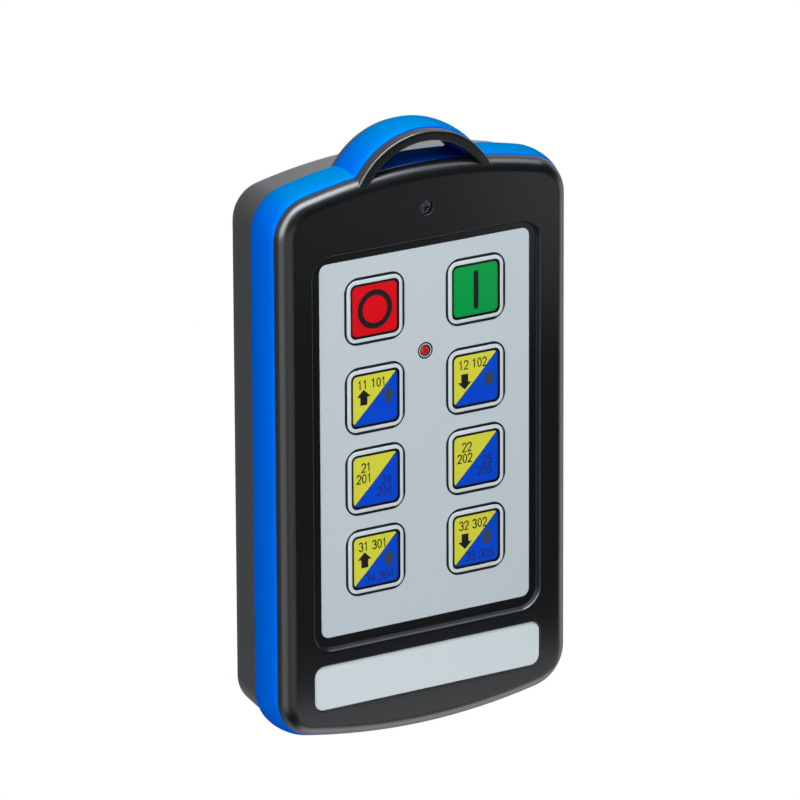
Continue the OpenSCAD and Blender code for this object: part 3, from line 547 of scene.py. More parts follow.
def makeStage():
    # a pale floor that the camera sees as white, a dim white room, and the studio's lights
    scene = bpy.context.scene
    scene.view_settings.view_transform = "Standard"
    half = stageLook["floorHalf"]
    mesh = bpy.data.meshes.new("pale floor")
    corner = [(-half, -half), (half, -half), (half, half), (-half, half)]
    mesh.from_pydata([(x, y, -stageLook["floorDrop"] * mm) for x, y in corner], [], [(0, 1, 2, 3)])
    floor = bpy.data.objects.new("pale_floor", mesh)
    scene.collection.objects.link(floor)
    material = bpy.data.materials.new("pale floor")
    material.use_nodes = True
    tree = material.node_tree
    tree.nodes.clear()
    out = addNode(tree, "ShaderNodeOutputMaterial")
    seen = addNode(tree, "ShaderNodeEmission", sockets={"Color": (1, 1, 1, 1), "Strength": 1.0})
    tone = stageLook["floorTone"]
    real = addNode(tree, "ShaderNodeBsdfDiffuse", sockets={"Color": (tone, tone, tone, 1)})
    mirrored = addNode(tree, "ShaderNodeEmission", sockets={"Color": stageLook["cool"]})
    place = addNode(tree, "ShaderNodeSeparateXYZ")
    tree.links.new(addNode(tree, "ShaderNodeTexCoord").outputs["Object"], place.inputs[0])
    level = None
    for axis, start, end, full in stageLook["rises"]:
        ramp = addNode(tree, "ShaderNodeMapRange", interpolation_type="SMOOTHSTEP", sockets={
            "From Min": start * mm, "From Max": end * mm, "To Min": stageLook["mirrored"], "To Max": full})
        tree.links.new(place.outputs[axis], ramp.inputs["Value"])
        level = mathNode(tree, "MAXIMUM", level, ramp.outputs["Result"]) if level else ramp.outputs["Result"]
    tree.links.new(level, mirrored.inputs["Strength"])
    path = addNode(tree, "ShaderNodeLightPath")
    surface = real
    for ray, shader in (("Is Glossy Ray", mirrored), ("Is Camera Ray", seen)):
        mix = addNode(tree, "ShaderNodeMixShader")
        tree.links.new(path.outputs[ray], mix.inputs[0])
        tree.links.new(surface.outputs[0], mix.inputs[1])
        tree.links.new(shader.outputs[0], mix.inputs[2])
        surface = mix
    tree.links.new(surface.outputs[0], out.inputs["Surface"])
    mesh.materials.append(material)
    world = bpy.data.worlds.new("studio room")
    world.use_nodes = True
    room = world.node_tree.nodes["Background"]
    room.inputs["Color"].default_value = (1, 1, 1, 1)
    room.inputs["Strength"].default_value = stageLook["world"]
    scene.world = world
    for name, (spot, aim, size, power, seenBy) in lamps.items():
        data = bpy.data.lights.new(name, "AREA")
        data.shape = "RECTANGLE"
        data.size, data.size_y = (side * mm for side in size)
        data.energy = power
        if seenBy == "glossy":
            data.color = stageLook["cool"][:3]
        light = bpy.data.objects.new(name, data)
        scene.collection.objects.link(light)
        light.location = Vector(spot) * mm
        light.rotation_euler = (Vector(spot) - Vector(aim)).to_track_quat("Z", "Y").to_euler()
        light.visible_camera = False
        light.visible_glossy = seenBy != "diffuse"
        light.visible_diffuse = seenBy != "glossy"


makeCamera()
makeStage()
print("camera and studio made")

outline = caseLoop()
windowLook = dict(pad=6.4, padCorner=1.3, gap=0.3, ceiling=23.0)
windowHalf = windowLook["pad"] + windowLook["gap"]
windowLoops = [roundedLoop(place[:2], (windowHalf, windowHalf), windowLook["padCorner"] + windowLook["gap"])
               for place in keyPlaces.values()]
loopLook = dict(drop=12.8, thick=2.5, setBack=0.6, leaf=1.8, start=24.0, frontRounds=(0.7, 0.4),
                rearRounds=(0.6, 0.35), frontSteps=(6, 5), rearSteps=(5, 4))
loopCentre = (0.0, crestY - loopLook["drop"])
loopOut = frontHigh[1] - loopCentre[1]
loopIn = loopOut - loopLook["thick"]


# Front shell

frontLook = dict(lip=2.1, lipThick=1.4, lipLow=18.0, seam=0.15, seamDeep=0.15, seamSoft=0.3, fillet=3.3,
                 filletFrom=22.6, filletTurn=78, filletSteps=24, pocketMargin=2.1, pocketCorner=4.8,
                 lean=0.38, edge=0.25, toeEdge=0.35, headEdge=0.13, edgeTurn=170, edgeSteps=6,
                 footOut=0.12, footDrop=0.36, lipDrop=0.58, headDrop=0.25, cove=0.35, coveSteps=6,
                 lampHole=1.6, plateGap=0.1, plateCorner=2.5, plateEdge=0.12, screwHole=1.75,
                 screwLead=0.06, screwSeat=24.0, shankHole=1.1, screwPost=2.9, screwPostLow=17.7,
                 boardPost=2.6, boardBore=1.0, boardBoreTop=21.65, boss=3.35, bossLow=14.1,
                 bossSeat=2.15, bossBore=1.6, bossBoreTop=20.1)
headRadius = dict(rear=2.75, board=1.8)


def screwPlaces(low, high, head):
    # middles of four screws, one head radius inside the corners of their node's box
    return [(x, y) for x in (low[0] + head, high[0] - head) for y in (low[1] + head, high[1] - head)]


bossPlaces = screwPlaces(rearScrewLow, rearScrewHigh, headRadius["rear"])
boardPostPlaces = screwPlaces(boardScrewLow, boardScrewHigh, headRadius["board"])


def frontShell():
    look, ceiling = frontLook, windowLook["ceiling"]
    low, seam, roundOver = look["lipLow"], look["seam"], look["fillet"]
    filletLow = bandTop + look["seamDeep"]
    inner = look["lip"] + look["lipThick"]
    # part of an ellipse that starts upright at the seam and meets the face at a soft crease
    turn = math.radians(look["filletTurn"])
    wide, tall = roundOver / (1 - math.cos(turn)), (faceZ - look["filletFrom"]) / math.sin(turn)
    fillet = [(0, filletLow)] + [(-wide + wide * math.cos(t), look["filletFrom"] + tall * math.sin(t))
                                 for t in np.linspace(0, turn, look["filletSteps"] + 1)]
    outer = [(-inner, ceiling), (-inner, low), (-look["lip"], low), (-look["lip"], bandTop), (-seam, bandTop),
             (-look["seamSoft"] * seam, bandTop + look["seamSoft"] * look["seamDeep"]), *fillet,
             (-roundOver - case["support"], faceZ)]
    parts = [sweep(outline, outer)]

    # keypad pocket: support ring, rounded lip, leaning wall, cove, floor; the toe and head walls are shifted
    half = (sheetHigh[:2] - sheetLow[:2]) / 2 + look["pocketMargin"]
    pocket = roundedLoop((0, sheetY), half, look["pocketCorner"], facets["pocketCorner"])
    cove, lean = look["cove"], look["lean"]
    toes, heads = np.clip(-pocket[1][:, 1], 0, 1), np.clip(pocket[1][:, 1], 0, 1)
    edge = look["edge"] + look["toeEdge"] * toes - look["headEdge"] * heads
    turn = np.radians(np.linspace(90, look["edgeTurn"], look["edgeSteps"] + 1))[:, None]
    lipTop = np.full((1, len(toes)), faceZ)
    lip = np.concatenate([[lean + edge + case["support"]], [lean + edge], lean + edge + edge * np.cos(turn)])
    lipHeight = np.concatenate([lipTop, lipTop, faceZ - edge + edge * np.sin(turn)])
    foot = quarter((look["footOut"] - cove, pocketFloor + cove), cove, 0, -90, look["coveSteps"])
    foot = np.array(foot + [(-cove - case["support"], pocketFloor)])[:, :, None] * np.ones(len(toes))
    outs, heights = np.concatenate([lip, foot[:, 0]]), np.concatenate([lipHeight, foot[:, 1]])
    rise = (heights - pocketFloor) / (faceZ - pocketFloor)
    outs += (look["footDrop"] + (look["lipDrop"] - look["footDrop"]) * rise) * toes
    outs -= look["headDrop"] * heads
    wall, lipEnd = np.stack([outs, heights], 2), len(lip)
    parts += [sweep(pocket, wall[:lipEnd]), sweep(pocket, wall[lipEnd - 1:-1], 1), sweep(pocket, wall[-2:])]

    # name plate pocket
    plateHalf = (plateHigh[:2] - plateLow[:2]) / 2 + look["plateGap"]
    plateLoop = roundedLoop((0, plateY), plateHalf, look["plateCorner"] + look["plateGap"],
                            facets["plateCorner"])
    soft = look["plateEdge"]
    plateWall = [(soft + case["support"], faceZ), (soft, faceZ),
                 *quarter((soft, faceZ - soft), soft, 90, 180, facets["smallEdge"]), (0, plateLow[2])]
    parts += [sweep(plateLoop, plateWall), panel(plateLow[2], moved(plateLoop, 0))]

    # front screw: chamfer, recess, seat, and the post under it
    screwLoop = pointLoop((0, screwY), facets["screw"])
    hole, lead = look["screwHole"], look["screwLead"]
    parts.append(sweep(screwLoop, [
        (hole + lead + case["support"], faceZ), (hole + lead, faceZ), (hole, faceZ - lead),
        (hole, look["screwSeat"]), (look["shankHole"], look["screwSeat"]),
        (look["shankHole"], look["screwPostLow"]), (look["screwPost"], look["screwPostLow"]),
        (look["screwPost"], ceiling)]))

    # windows for the keys and the lamp
    lampLoop = pointLoop((0, lampY), facets["circle"])
    parts += [sweep(window, [(0, pocketFloor), (0, ceiling)]) for window in windowLoops]
    parts.append(sweep(lampLoop, [(look["lampHole"], pocketFloor), (look["lampHole"], ceiling)]))

    # bosses and board posts under the face: loop, radius, lower end, bore
    bossBore = [(look["bossSeat"], look["bossLow"]), (look["bossSeat"], rearInsertTop),
                (look["bossBore"], rearInsertTop), (look["bossBore"], look["bossBoreTop"]),
                (0, look["bossBoreTop"])]
    postBore = [(look["boardBore"], boardTop), (look["boardBore"], look["boardBoreTop"]),
                (0, look["boardBoreTop"])]
    posts = [(pointLoop(place, facets["circle"]), look["boss"], look["bossLow"], bossBore)
             for place in bossPlaces]
    posts += [(pointLoop(place, facets["boardPost"]), look["boardPost"], boardTop, postBore)
              for place in boardPostPlaces]
    for loop, radius, postLow, bore in posts:
        parts.append(sweep(loop, [(radius, ceiling), (radius, postLow), *bore]))

    floorHoles = [moved(window, 0) for window in windowLoops] + [moved(lampLoop, look["lampHole"])]
    ceilingHoles = [*floorHoles, moved(screwLoop, look["screwPost"]),
                    *[moved(loop, radius) for loop, radius, _, _ in posts]]
    faceHoles = [moved(pocket, outs[0][:, None]), moved(plateLoop, plateWall[0][0]),
                 moved(screwLoop, hole + lead + case["support"])]
    parts.append(panel(pocketFloor, moved(pocket, outs[-1][:, None]), floorHoles))
    parts.append(panel(ceiling, moved(outline, -inner), ceilingHoles))
    parts.append(panel(faceZ, moved(outline, -roundOver - case["support"]), faceHoles))

    # front leaf of the loop, rounded in front
    top, (big, little) = faceZ - loopLook["setBack"], loopLook["frontRounds"]
    leaf = [(loopIn, bandTop), (loopOut - seam, bandTop), (loopOut, bandTop + look["seamDeep"])]
    bigSteps, littleSteps = loopLook["frontSteps"]
    leaf += quarter((loopOut - big, top - big), big, 0, 90, bigSteps)
    leaf += quarter((loopIn + little, top - little), little, 90, 180, littleSteps)
    parts.append(archPart(loopCentre, leaf, loopLook["start"], 180 - loopLook["start"]))
    makePiece("front_shell_dressed", parts, [shellPlastic, pocketPlastic], "case", "case_plastic",
              ["front_shell"])


frontShell()
print("front shell made")


# Rear shell

rearLook = dict(round=2.0, roundSteps=10, taperSteps=5, lipTop=17.2, cavity=3.85, step=10.6, seatZ=3.0,
                headHole=3.1, lead=0.2, shankHole=1.6, boss=4.3, bossTop=14.1, plateGap=0.1, plateCorner=2.6,
                postTop=17.7, post=2.9, postSeat=1.5, postBore=1.1, postBoreLow=11.5)


def rearShell():
    look, wall = rearLook, case["wall"]
    seam, inner = frontLook["seam"], frontLook["lip"] + frontLook["lipThick"]
    roundOver = look["round"]

    def taper(z):
        return case["taper"] * (1 - z / bandBase)

    side = [(-taper(z), z) for z in np.linspace(bandBase - seam, roundOver, look["taperSteps"] + 1)]
    back = [(-taper(z) - roundOver + roundOver * math.cos(t), z)
            for t in np.linspace(0, math.pi / 2, look["roundSteps"] + 1)[1:]
            for z in [roundOver - roundOver * math.sin(t)]]
    support = (back[-1][0] - case["support"], 0)
    outer = [(-look["cavity"], wall), (-look["cavity"], look["step"]), (-inner, look["step"]),
             (-inner, look["lipTop"]), (-frontLook["lip"], look["lipTop"]), (-frontLook["lip"], bandBase),
             (-seam, bandBase), *side, *back, support]
    parts = [sweep(outline, outer)]

    # recess of the bare back plate
    half = (backPlateHigh[:2] - backPlateLow[:2]) / 2 + look["plateGap"]
    middle = (backPlateHigh[:2] + backPlateLow[:2]) / 2
    plateLoop = roundedLoop(middle, half, look["plateCorner"], facets["plateCorner"])
    lead = look["lead"]
    parts.append(sweep(plateLoop, [(lead + case["support"], 0), (lead, 0), (0, lead), (0, backPlateHigh[2])]))
    parts.append(panel(backPlateHigh[2], moved(plateLoop, 0)))

    # recesses, shank holes and bosses of the four rear screws
    bossLoops = [pointLoop(place, facets["screw"]) for place in bossPlaces]
    head = look["headHole"]
    for loop in bossLoops:
        parts.append(sweep(loop, [
            (head + lead + case["support"], 0), (head + lead, 0), (head, lead), (head, look["seatZ"]),
            (look["shankHole"], look["seatZ"]), (look["shankHole"], look["bossTop"]),
            (look["boss"], look["bossTop"]), (look["boss"], wall)]))
    postLoop = pointLoop((0, screwY), facets["circle"])
    parts.append(sweep(postLoop, [
        (look["post"], wall), (look["post"], look["postTop"]), (look["postSeat"], look["postTop"]),
        (look["postSeat"], frontInsertBase), (look["postBore"], frontInsertBase),
        (look["postBore"], look["postBoreLow"]), (0, look["postBoreLow"])]))
    parts.append(panel(0, moved(outline, support[0]),
                       [moved(plateLoop, lead + case["support"])]
                       + [moved(loop, head + lead + case["support"]) for loop in bossLoops]))
    parts.append(panel(wall, moved(outline, -look["cavity"]),
                       [moved(loop, look["boss"]) for loop in bossLoops] + [moved(postLoop, look["post"])]))

    # rear leaf of the loop, rounded behind
    low, (big, little) = bandBase - loopLook["leaf"], loopLook["rearRounds"]
    leaf = [(loopIn, bandBase), (loopOut - seam, bandBase), (loopOut, bandBase - seam)]
    bigSteps, littleSteps = loopLook["rearSteps"]
    leaf += quarter((loopOut - big, low + big), big, 0, -90, bigSteps)
    leaf += quarter((loopIn + little, low + little), little, 270, 180, littleSteps)
    parts.append(archPart(loopCentre, leaf, loopLook["start"], 180 - loopLook["start"]))
    makePiece("rear_shell_dressed", parts, [shellPlastic], "case", "case_plastic", ["rear_shell"])


rearShell()
print("rear shell made")


# Seal band

bandLook = dict(inner=2.0, crown=bandHigh[0] - halfW, lean=0.8, steps=24, fadeFrom=14.3, fadeTo=17.3,
                start=24.5, turnSteps=96, edge=0.25, paintedSheenPower=4, paintedShadeFrom=0.3, paintedShadeFade=0.2,
                paintedShadeAbove=8, sharp=40)


def sealBand():
    # outset = crown height * root of sin(pi * share ** lean): a lean below 1 moves its peak to the rear
    look = bandLook
    share = (1 - np.cos(np.linspace(0, math.pi, look["steps"] + 1))) / 2
    swell = np.sqrt(np.abs(np.sin(math.pi * share ** look["lean"])))
    swell[[0, -1]] = 0
    x, y = outline[0][:, 0], outline[0][:, 1]
    fade = np.clip((np.abs(x) - look["fadeFrom"]) / (look["fadeTo"] - look["fadeFrom"]), 0, 1)
    fade = np.where(y > 0, fade * fade * (3 - 2 * fade), 1.0)
    level = bandBase + (bandTop - bandBase) * share
    bulge = look["crown"] * swell[:, None] * fade[None]
    height = np.repeat(level[:, None], len(x), 1)
    rim = np.full((1, len(x)), -look["inner"])
    out = np.concatenate([rim, bulge, rim])
    tall = np.concatenate([height[:1], height, height[-1:]])
    parts = [sweep(outline, np.stack([out, tall], 2), closed=True)]
    edge = look["edge"]
    ring = [(loopOut + look["crown"] * bulging, z) for bulging, z in zip(swell, level)]
    ring += [(loopIn + edge, bandTop), (loopIn, bandTop - edge), (loopIn, bandBase + edge),
             (loopIn + edge, bandBase)]
    parts.append(archPart(loopCentre, ring, look["start"], 180 - look["start"], look["turnSteps"]))
    piece = makePiece("seal_band_dressed", parts, [sealRubber], "case", "seal_blue", ["seal_band"],
                      sharp=look["sharp"])

    # how much each vertex faces the crest end, and whether it lies inside the loop, for the rubber's painted
    # sheen and painted shade
    mesh = piece.data
    normals, spots = (np.empty(len(mesh.vertices) * 3, np.float32) for _ in range(2))
    mesh.vertices.foreach_get("normal", normals)
    mesh.vertices.foreach_get("co", spots)
    spots = spots.reshape(-1, 3)[:, :2] / mm
    away = np.linalg.norm(spots - loopCentre, axis=1)
    within = np.clip((loopIn + look["paintedShadeFrom"] - away) / look["paintedShadeFade"], 0, 1)
    shares = {"paintedSheen": np.clip(normals.reshape(-1, 3)[:, 1], 0, 1) ** look["paintedSheenPower"],
              "paintedShade": within * (spots[:, 1] > loopCentre[1] + look["paintedShadeAbove"])}
    for name, share in shares.items():
        mesh.attributes.new(name, "FLOAT", "POINT").data.foreach_set("value", share.astype(np.float32))


sealBand()
print("seal band made")


# Keypad sheet with its raised rims, and the print round them

sheetLook = dict(corner=2.0, filmTop=pocketFloor + 0.2, bevel=0.05, border=0.2, opening=6.7,
                 openingCorner=1.5, plateau=7.4, foot=7.6, rise=0.3, soft=0.05, shoulder=0.14, toe=0.06,
                 margin=0.1, ringHalf=7.97, ringWidth=0.68, ringCorner=3.4, lampHole=1.42, lampEdge=0.03,
                 lampRing=2.06, lampRingWidth=0.39, inkRise=0.015, inkSink=0.02)


def keypadSheet():
    look = sheetLook
    half = (sheetHigh[:2] - sheetLow[:2]) / 2
    edgeLoop = roundedLoop((0, sheetY), half, look["corner"], facets["filmCorner"])
    low, top, rise = pocketFloor, look["filmTop"], look["rise"]
    bevel, border, soft, margin = look["bevel"], look["border"], look["soft"], look["margin"]
    foot, plateau = look["foot"] - look["opening"], look["plateau"] - look["opening"]
    parts = [sweep(edgeLoop, [(0, low), (0, top - bevel), (-bevel, top), (-bevel - border, top)])]
    rims, feet = [], []
    for place in keyPlaces.values():
        loop = roundedLoop(place[:2], (look["opening"], look["opening"]), look["openingCorner"],
                           facets["filmCorner"])
        # the window wall takes the black print: painted shade in the gap round the pad
        parts.append(sweep(loop, [(0, low), (0, top + rise - soft)], 1))
        rims.append(sweep(loop, [*quarter((soft, top + rise - soft), soft, 180, 90, facets["smallEdge"]),
                                 (plateau, top + rise),
                                 (plateau + look["shoulder"], top + rise - soft),
                                 (foot - look["toe"], top + soft), (foot, top)], 2))
        parts.append(sweep(loop, [(foot, top), (foot + margin, top)]))
        feet.append((moved(loop, foot + margin), moved(loop, 0)))
    lampLoop, hole = pointLoop((0, lampY), facets["circle"]), look["lampHole"]
    wide = hole + look["lampEdge"]
    # the lamp hole's wall takes the black print: painted shade in the gap round the lens
    parts.append(sweep(lampLoop, [(hole, low), (hole, top - look["lampEdge"]), (wide, top)], 1))
    parts.append(panel(top, moved(edgeLoop, -bevel - border), [f[0] for f in feet] + [moved(lampLoop, wide)]))
    parts.append(panel(low, moved(edgeLoop, 0), [f[1] for f in feet] + [moved(lampLoop, hole)]))
    makePiece("keypad_sheet_dressed", parts + rims, [keypadFilm, blackPrintAndShade, rimFilm], "case", "keypad_film",
              ["keypad_sheet"])

    def flat(x, y):
        return np.full(len(x), top)

    width, side = look["ringWidth"] / 2, look["ringHalf"]
    rings = [roundedLoop(place[:2], (side, side), look["ringCorner"], facets["pocketCorner"])
             for place in keyPlaces.values()]
    lines = [[moved(ring, width), moved(ring, -width)] for ring in rings]
    lampRing, radius = pointLoop((0, lampY), facets["lampRing"]), look["lampRing"]
    lines.append([moved(lampRing, radius), moved(lampRing, radius - look["lampRingWidth"])])
    prints = [part for line in lines for part in inkPart(line, flat, look["inkRise"], look["inkSink"])]
    makePiece("key_ring_print", prints, [blackPrintAndShade], "case", "keypad_film")


keypadSheet()
print("keypad sheet made")


# Keys

padLook = dict(crown=0.2, top=25.1, edge=0.12, edgeSteps=4, flangeTop=22.85, flangeLow=21.95,
               flangeHalf=7.4, socketLow=20.95, socket=3.1, bore=1.9, rings=12, blackRings=2, split=0.16,
               splitInset=0.55, splitSteps=20, splitRise=0.012, splitSink=0.03)
circleLook = dict(radius=4.75, width=1.35)
barLook = dict(height=9.6, width=1.35, steps=14, turns=10)
arrowLook = dict(tall=3.8, head=3.66, headTall=1.8, shaft=1.85)
numberLook = dict(tall=2.05, wide=1.0, stroke=0.30, pitch=1.42, gap=0.85, bowSteps=12, sharpest=0.35,
                  longest=2)
keyFaces = {
    "stop": dict(films=[redFilm], slot="red_pad", mark="circle"),
    "start": dict(films=[greenFilm], slot="green_pad", mark="bar"),
    "upper_left": dict(mark="up", arrows=((-3.2, 0.8), (3.6, 0.35)),
                       numbers=[("11 101", (-0.9, 3.85), 0)]),
    "upper_right": dict(mark="down", arrows=((-3.2, -0.3), (3.7, -0.7)),
                        numbers=[("12 102", (-0.9, 3.85), 0)]),
    "middle_left": dict(mark=None, numbers=[("21", (-2.6, 3.4), 0), ("201", (-3.2, 0.7), 0),
                                            ("24", (3.0, -0.6), 1), ("204", (2.3, -3.1), 1)]),
    "middle_right": dict(mark=None, numbers=[("22", (-2.6, 3.4), 0), ("202", (-3.2, 0.7), 0),
                                             ("25", (3.0, -0.6), 1), ("205", (2.3, -3.1), 1)]),
    "lower_left": dict(mark="up", arrows=((-3.2, 0.5), (3.5, -0.1)),
                       numbers=[("31 301", (-0.9, 3.85), 0), ("34 304", (0.9, -4.1), 1)]),
    "lower_right": dict(mark="down", arrows=((-3.2, -0.1), (3.0, -0.2)),
                        numbers=[("32 302", (-0.9, 3.85), 0), ("35 305", (0.9, -4.1), 1)]),
}
for face in keyFaces.values():
    face.setdefault("films", [yellowFilm, blueFilm])
    face.setdefault("slot", "split_pad")


def crownOver(place):
    # height of a pad at a point: its edge height plus a crown that falls off towards each edge
    half = windowLook["pad"]

    def surface(x, y):
        u, v = (np.asarray(x) - place[0]) / half, (np.asarray(y) - place[1]) / half
        return padLook["top"] + padLook["crown"] * np.clip(1 - u * u, 0, 1) * np.clip(1 - v * v, 0, 1)
    return surface


def padParts(place, split):
    # rounded square drawn in to its middle and lifted onto the crown, with a black border that is partly
    # print and partly painted shade of the gap round the pad; then its rounded edge, painted black as shade
    # of that gap, flange and socket
    look, half, centre = padLook, windowLook["pad"], np.array(place[:2])
    loop = roundedLoop(centre, (half, half), windowLook["padCorner"], facets["padCorner"])
    rim = moved(loop, -look["edge"])
    share = np.sin(np.linspace(0, math.pi / 2, look["rings"] + 1))[:, None, None]
    flat = centre + share * (rim - centre)[None]
    surface = crownOver(place)
    height = surface(flat[..., 0], flat[..., 1])[..., None]
    points, faces, _ = gridPart(np.concatenate([flat, height], 2))
    if split:
        turn = np.arctan2(rim[:, 1] - centre[1], rim[:, 0] - centre[0])
        middle = (turn + np.roll(turn, -1)) / 2
        wrap = np.abs(turn - np.roll(turn, -1)) > math.pi
        middle[wrap] += math.pi
        lower = np.cos(middle + math.pi / 4) > 0
        films = np.tile(lower, look["rings"]).astype(int)
    else:
        films = np.zeros(len(faces), int)
    black = 2 if split else 1
    # the outer rings of the top take the black print: a printed border and painted shade of the gap
    films[-look["blackRings"] * len(rim):] = black
    top = [(points, [face for face, film in zip(faces, films) if film == number], number)
           for number in range(black + 1)]
    edge, edgeHeight = look["edge"], surface(rim[:, 0], rim[:, 1])
    turns = np.linspace(math.pi / 2, 0, look["edgeSteps"] + 1)
    rows = [np.stack([np.full(len(rim), -edge + edge * math.cos(t)),
                      edgeHeight - edge + edge * math.sin(t)], 1) for t in turns]
    rows.append(np.stack([np.zeros(len(rim)), np.full(len(rim), look["flangeTop"])], 1))
    side = sweep(loop, np.array(rows), black)
    flange = roundedLoop(centre, (look["flangeHalf"], look["flangeHalf"]), windowLook["padCorner"],
                         facets["padCorner"])
    socket = pointLoop(centre, facets["circle"])
    under = [sweep(flange, [(0, look["flangeTop"]), (0, look["flangeLow"])]),
             panel(look["flangeTop"], moved(flange, 0), [moved(loop, 0)]),
             panel(look["flangeLow"], moved(flange, 0), [moved(socket, look["socket"])]),
             sweep(socket, [(look["socket"], look["flangeLow"]), (look["socket"], look["socketLow"]),
                            (look["bore"], look["socketLow"]), (look["bore"], look["flangeLow"]),
                            (0, look["flangeLow"])])]
    return top + [side] + under


def strip(start, end, width, steps):
    # a straight band between two points, with points all along its sides
    start, end = np.array(start, float), np.array(end, float)
    along = (end - start) / np.linalg.norm(end - start)
    across = np.array([-along[1], along[0]]) * width / 2
    line = start + np.linspace(0, 1, steps + 1)[:, None] * (end - start)
    return np.vstack([line - across, (line + across)[::-1]])


def arrowLine(centre, upwards):
    look, way = arrowLook, 1 if upwards else -1
    tip, neck = look["tall"] / 2, look["tall"] / 2 - look["headTall"]
    shaft, head = look["shaft"] / 2, look["head"] / 2
    line = [(-shaft, -tip), (shaft, -tip), (shaft, neck), (head, neck), (0, tip), (-head, neck),
            (-shaft, neck)]
    return np.array(centre) + np.array(line) * (1, way)


def bow(centre, radius, start, end):
    # a run of an ellipse between two angles, for the bowls of the numerals
    turn = np.radians(np.linspace(start, end, numberLook["bowSteps"] + 1))
    return [(centre[0] + radius[0] * math.cos(t), centre[1] + radius[1] * math.sin(t)) for t in turn]


# Centre lines of the numerals, in shares of their width and height from the lower left corner
numeralShares = {
    "0": [bow((0.5, 0.5), (0.5, 0.5), 90, 450)],
    "1": [[(0.12, 0.78), (0.5, 1.0), (0.5, 0.0)]],
    "2": [bow((0.5, 0.72), (0.5, 0.28), 175, -30) + [(0.0, 0.0), (1.0, 0.0)]],
    "3": [bow((0.46, 0.75), (0.46, 0.25), 165, -90), bow((0.46, 0.26), (0.54, 0.26), 90, -165)],
    "4": [[(0.78, 0.0), (0.78, 1.0), (0.0, 0.3), (1.05, 0.3)]],
    "5": [[(0.92, 1.0), (0.16, 1.0), (0.1, 0.52)] + bow((0.46, 0.32), (0.52, 0.32), 130, -160)],
}


def strokeLine(line, width):
    # both sides of a centre line, half a width away along the mean normal of its neighbours
    line = np.array(line)
    along = np.diff(line, axis=0)
    along /= np.linalg.norm(along, axis=1)[:, None]
    before, after = np.vstack([along[:1], along]), np.vstack([along, along[-1:]])
    mean = before + after
    mean /= np.linalg.norm(mean, axis=1)[:, None]
    reach = 1 / np.maximum((mean * before).sum(1), numberLook["sharpest"])
    reach = np.clip(reach, 1, numberLook["longest"])[:, None]
    aside = np.stack([-mean[:, 1], mean[:, 0]], 1) * reach * width / 2
    return np.vstack([line - aside, (line + aside)[::-1]])


def numberParts(words, centre, surface, material):
    # plain numerals as thin prints on the pad, set side by side about the centre
    look = numberLook
    steps = [look["gap"] if mark == " " else look["pitch"] for mark in words]
    spot, parts = centre[0] - sum(steps) / 2 + (look["pitch"] - look["wide"]) / 2, []
    for mark, step in zip(words, steps):
        for line in numeralShares.get(mark, []):
            placed = np.array(line) * (look["wide"], look["tall"]) + (spot, centre[1] - look["tall"] / 2)
            if np.allclose(placed[0], placed[-1]):
                loop = placed[:-1]
                middle, half = loop.mean(0), look["stroke"] / 2
                away = (loop - middle) / np.linalg.norm(loop - middle, axis=1)[:, None]
                lines = [loop + away * half, loop - away * half]
            else:
                lines = [strokeLine(placed, look["stroke"])]
            parts += inkPart(lines, surface, material=material)
        spot += step
    return parts


def keyPrint(face, place, surface):
    # the printed marks of one key: circle or bar, or arrows, numerals and the dividing line
    centre = np.array(place[:2])
    if face["mark"] == "circle":
        ring, radius = pointLoop(centre, facets["ringPrint"]), circleLook["radius"]
        return inkPart([moved(ring, radius), moved(ring, radius - circleLook["width"])], surface)
    if face["mark"] == "bar":
        look, reach, width = barLook, barLook["height"] / 2, barLook["width"] / 2
        upper = arc(centre + (0, reach - width), width, 0, math.pi, look["turns"])[0]
        lower = arc(centre - (0, reach - width), width, math.pi, 2 * math.pi, look["turns"])[0]
        steps = np.linspace(reach - width, width - reach, look["steps"])[1:-1]
        left = np.stack([np.full(len(steps), centre[0] - width), centre[1] + steps], 1)
        right = np.stack([np.full(len(steps), centre[0] + width), centre[1] + steps[::-1]], 1)
        return inkPart([np.vstack([upper, left, lower, right])], surface)
    look, reach = padLook, windowLook["pad"] - padLook["splitInset"]
    split = strip(centre - reach, centre + reach, look["split"], look["splitSteps"])
    parts = inkPart([split], surface, look["splitRise"], look["splitSink"])
    if face["mark"]:
        for spot, material in zip(face["arrows"], (0, 2)):
            parts += inkPart([arrowLine(centre + spot, face["mark"] == "up")], surface, material=material)
    for words, spot, material in face["numbers"]:
        parts += numberParts(words, centre + spot, surface, material)
    return parts


for name, face in keyFaces.items():
    place, body, films = keyPlaces[name], name + "_key", face["films"]
    pad, marks = padParts(place, len(films) > 1), keyPrint(face, place, crownOver(place))
    makePiece(name + "_pad", pad, [*films, blackPrintAndShade], body, face["slot"], [body])
    makePiece(name + "_print", marks, [blackPrintAndShade, navyInk, greyInk], body, face["slot"])
print("keys made")


# Plates and lamp lens

plateLook = dict(corner=2.5, bevel=0.06, border=0.25)


def flatPlate(name, node, low, high, up=True):
    # a thin plate with a small bevel on the side that shows
    half, middle = (high[:2] - low[:2]) / 2, (high[:2] + low[:2]) / 2
    loop = roundedLoop(middle, half, plateLook["corner"], facets["plateCorner"])
    bevel, border = plateLook["bevel"], plateLook["border"]
    inner, outer = (low[2], high[2]) if up else (high[2], low[2])
    shown = outer - bevel if up else outer + bevel
    parts = [sweep(loop, [(0, inner), (0, shown), (-bevel, outer), (-bevel - border, outer)]),
             panel(outer, moved(loop, -bevel - border)), panel(inner, moved(loop, 0))]
    makePiece(name, parts, [plateSatin], "case", "plate_satin", [node])


flatPlate("name_plate_dressed", "name_plate", plateLow, plateHigh)
flatPlate("rear_plate_dressed", "rear_plate", backPlateLow, backPlateHigh, up=False)

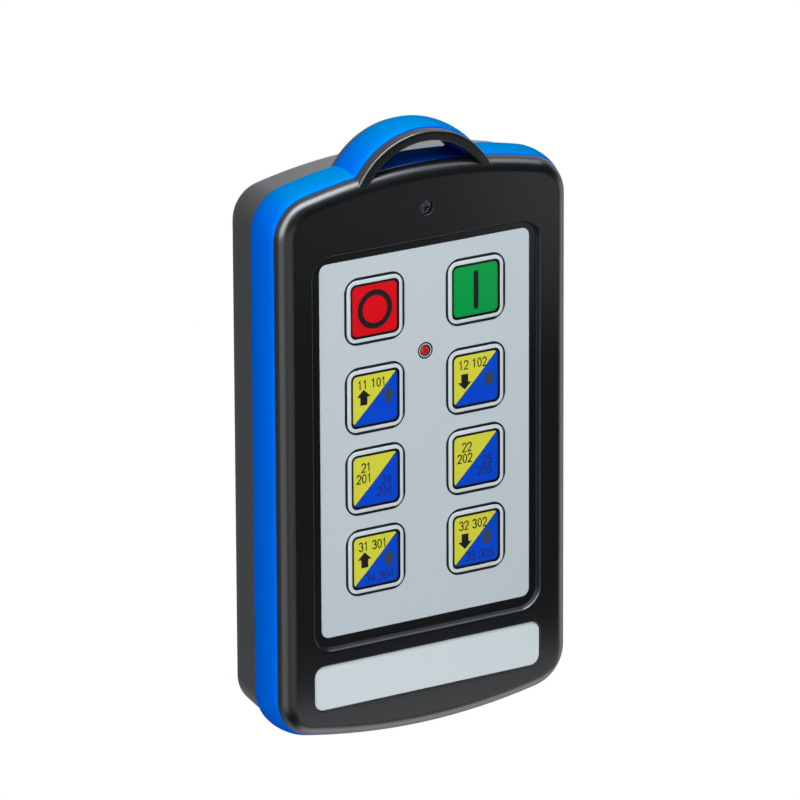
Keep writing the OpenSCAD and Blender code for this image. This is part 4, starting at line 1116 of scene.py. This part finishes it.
lensLook = dict(radius=1.19, dome=0.45, domeSteps=11, flange=1.9, flangeTall=1.0)


def lampLens():
    # a lathe-turned lens: flange, straight barrel and a low dome
    look, loop = lensLook, pointLoop((0, lampY), facets["screw"])
    low, high = lampLow[2], lampHigh[2]
    dome = [(look["radius"] * math.cos(t), high - look["dome"] + look["dome"] * math.sin(t))
            for t in np.linspace(0, math.pi / 2, look["domeSteps"] + 1)]
    profile = [(0, low), (look["flange"], low), (look["flange"], low + look["flangeTall"]),
               (look["radius"], low + look["flangeTall"]), *dome]
    makePiece("lamp_lens", [sweep(loop, profile)], [lensRed], "case", "lamp_red", ["status_lamp"])


lampLens()
print("plates and lens made")

# The rest keeps its CAD mesh and gets its finish
nodeFinishes = {
    "switch_bases": blackPlastic, "switch_covers": tinnedSteel, "switch_legs": tinnedSteel,
    "main_board": boardGreen, "board_screws": screwSteel, "lamp_spacer": blackPlastic,
    "lamp_wires": tinnedSteel, "controller_chip": blackPlastic, "controller_legs": tinnedSteel,
    "radio_board": boardBlue, "radio_can": tinnedSteel, "radio_pins": giltMetal, "antenna": copperMetal,
    "crystal": tinnedSteel, "regulator": blackPlastic, "capacitors": tinnedSteel, "resistors": blackPlastic,
    "battery": jacketPaint, "battery_terminals": studSteel, "battery_snap": blackPlastic,
    "red_lead": redLead, "black_lead": blackLead, "lead_plug": nylonWhite, "board_socket": nylonWhite,
    "battery_pad": foamGrey, "front_screw": screwBlack, "front_insert": brassMetal,
    "rear_screws": screwSteel, "rear_inserts": brassMetal, "front_shell": shellPlastic,
    "rear_shell": shellPlastic, "seal_band": sealRubber, "keypad_sheet": keypadFilm,
    "name_plate": plateSatin, "rear_plate": plateSatin, "status_lamp": lensRed,
}
for name in keyNames:
    nodeFinishes[name + "_plunger"] = blackPlastic
    nodeFinishes[name + "_key"] = keyFaces[name]["films"][0]
for node, material in nodeFinishes.items():
    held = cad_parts[node]
    if not held.material_slots:
        held.data.materials.append(material)
    for slot in held.material_slots:
        slot.material = material
print("CAD nodes finished")
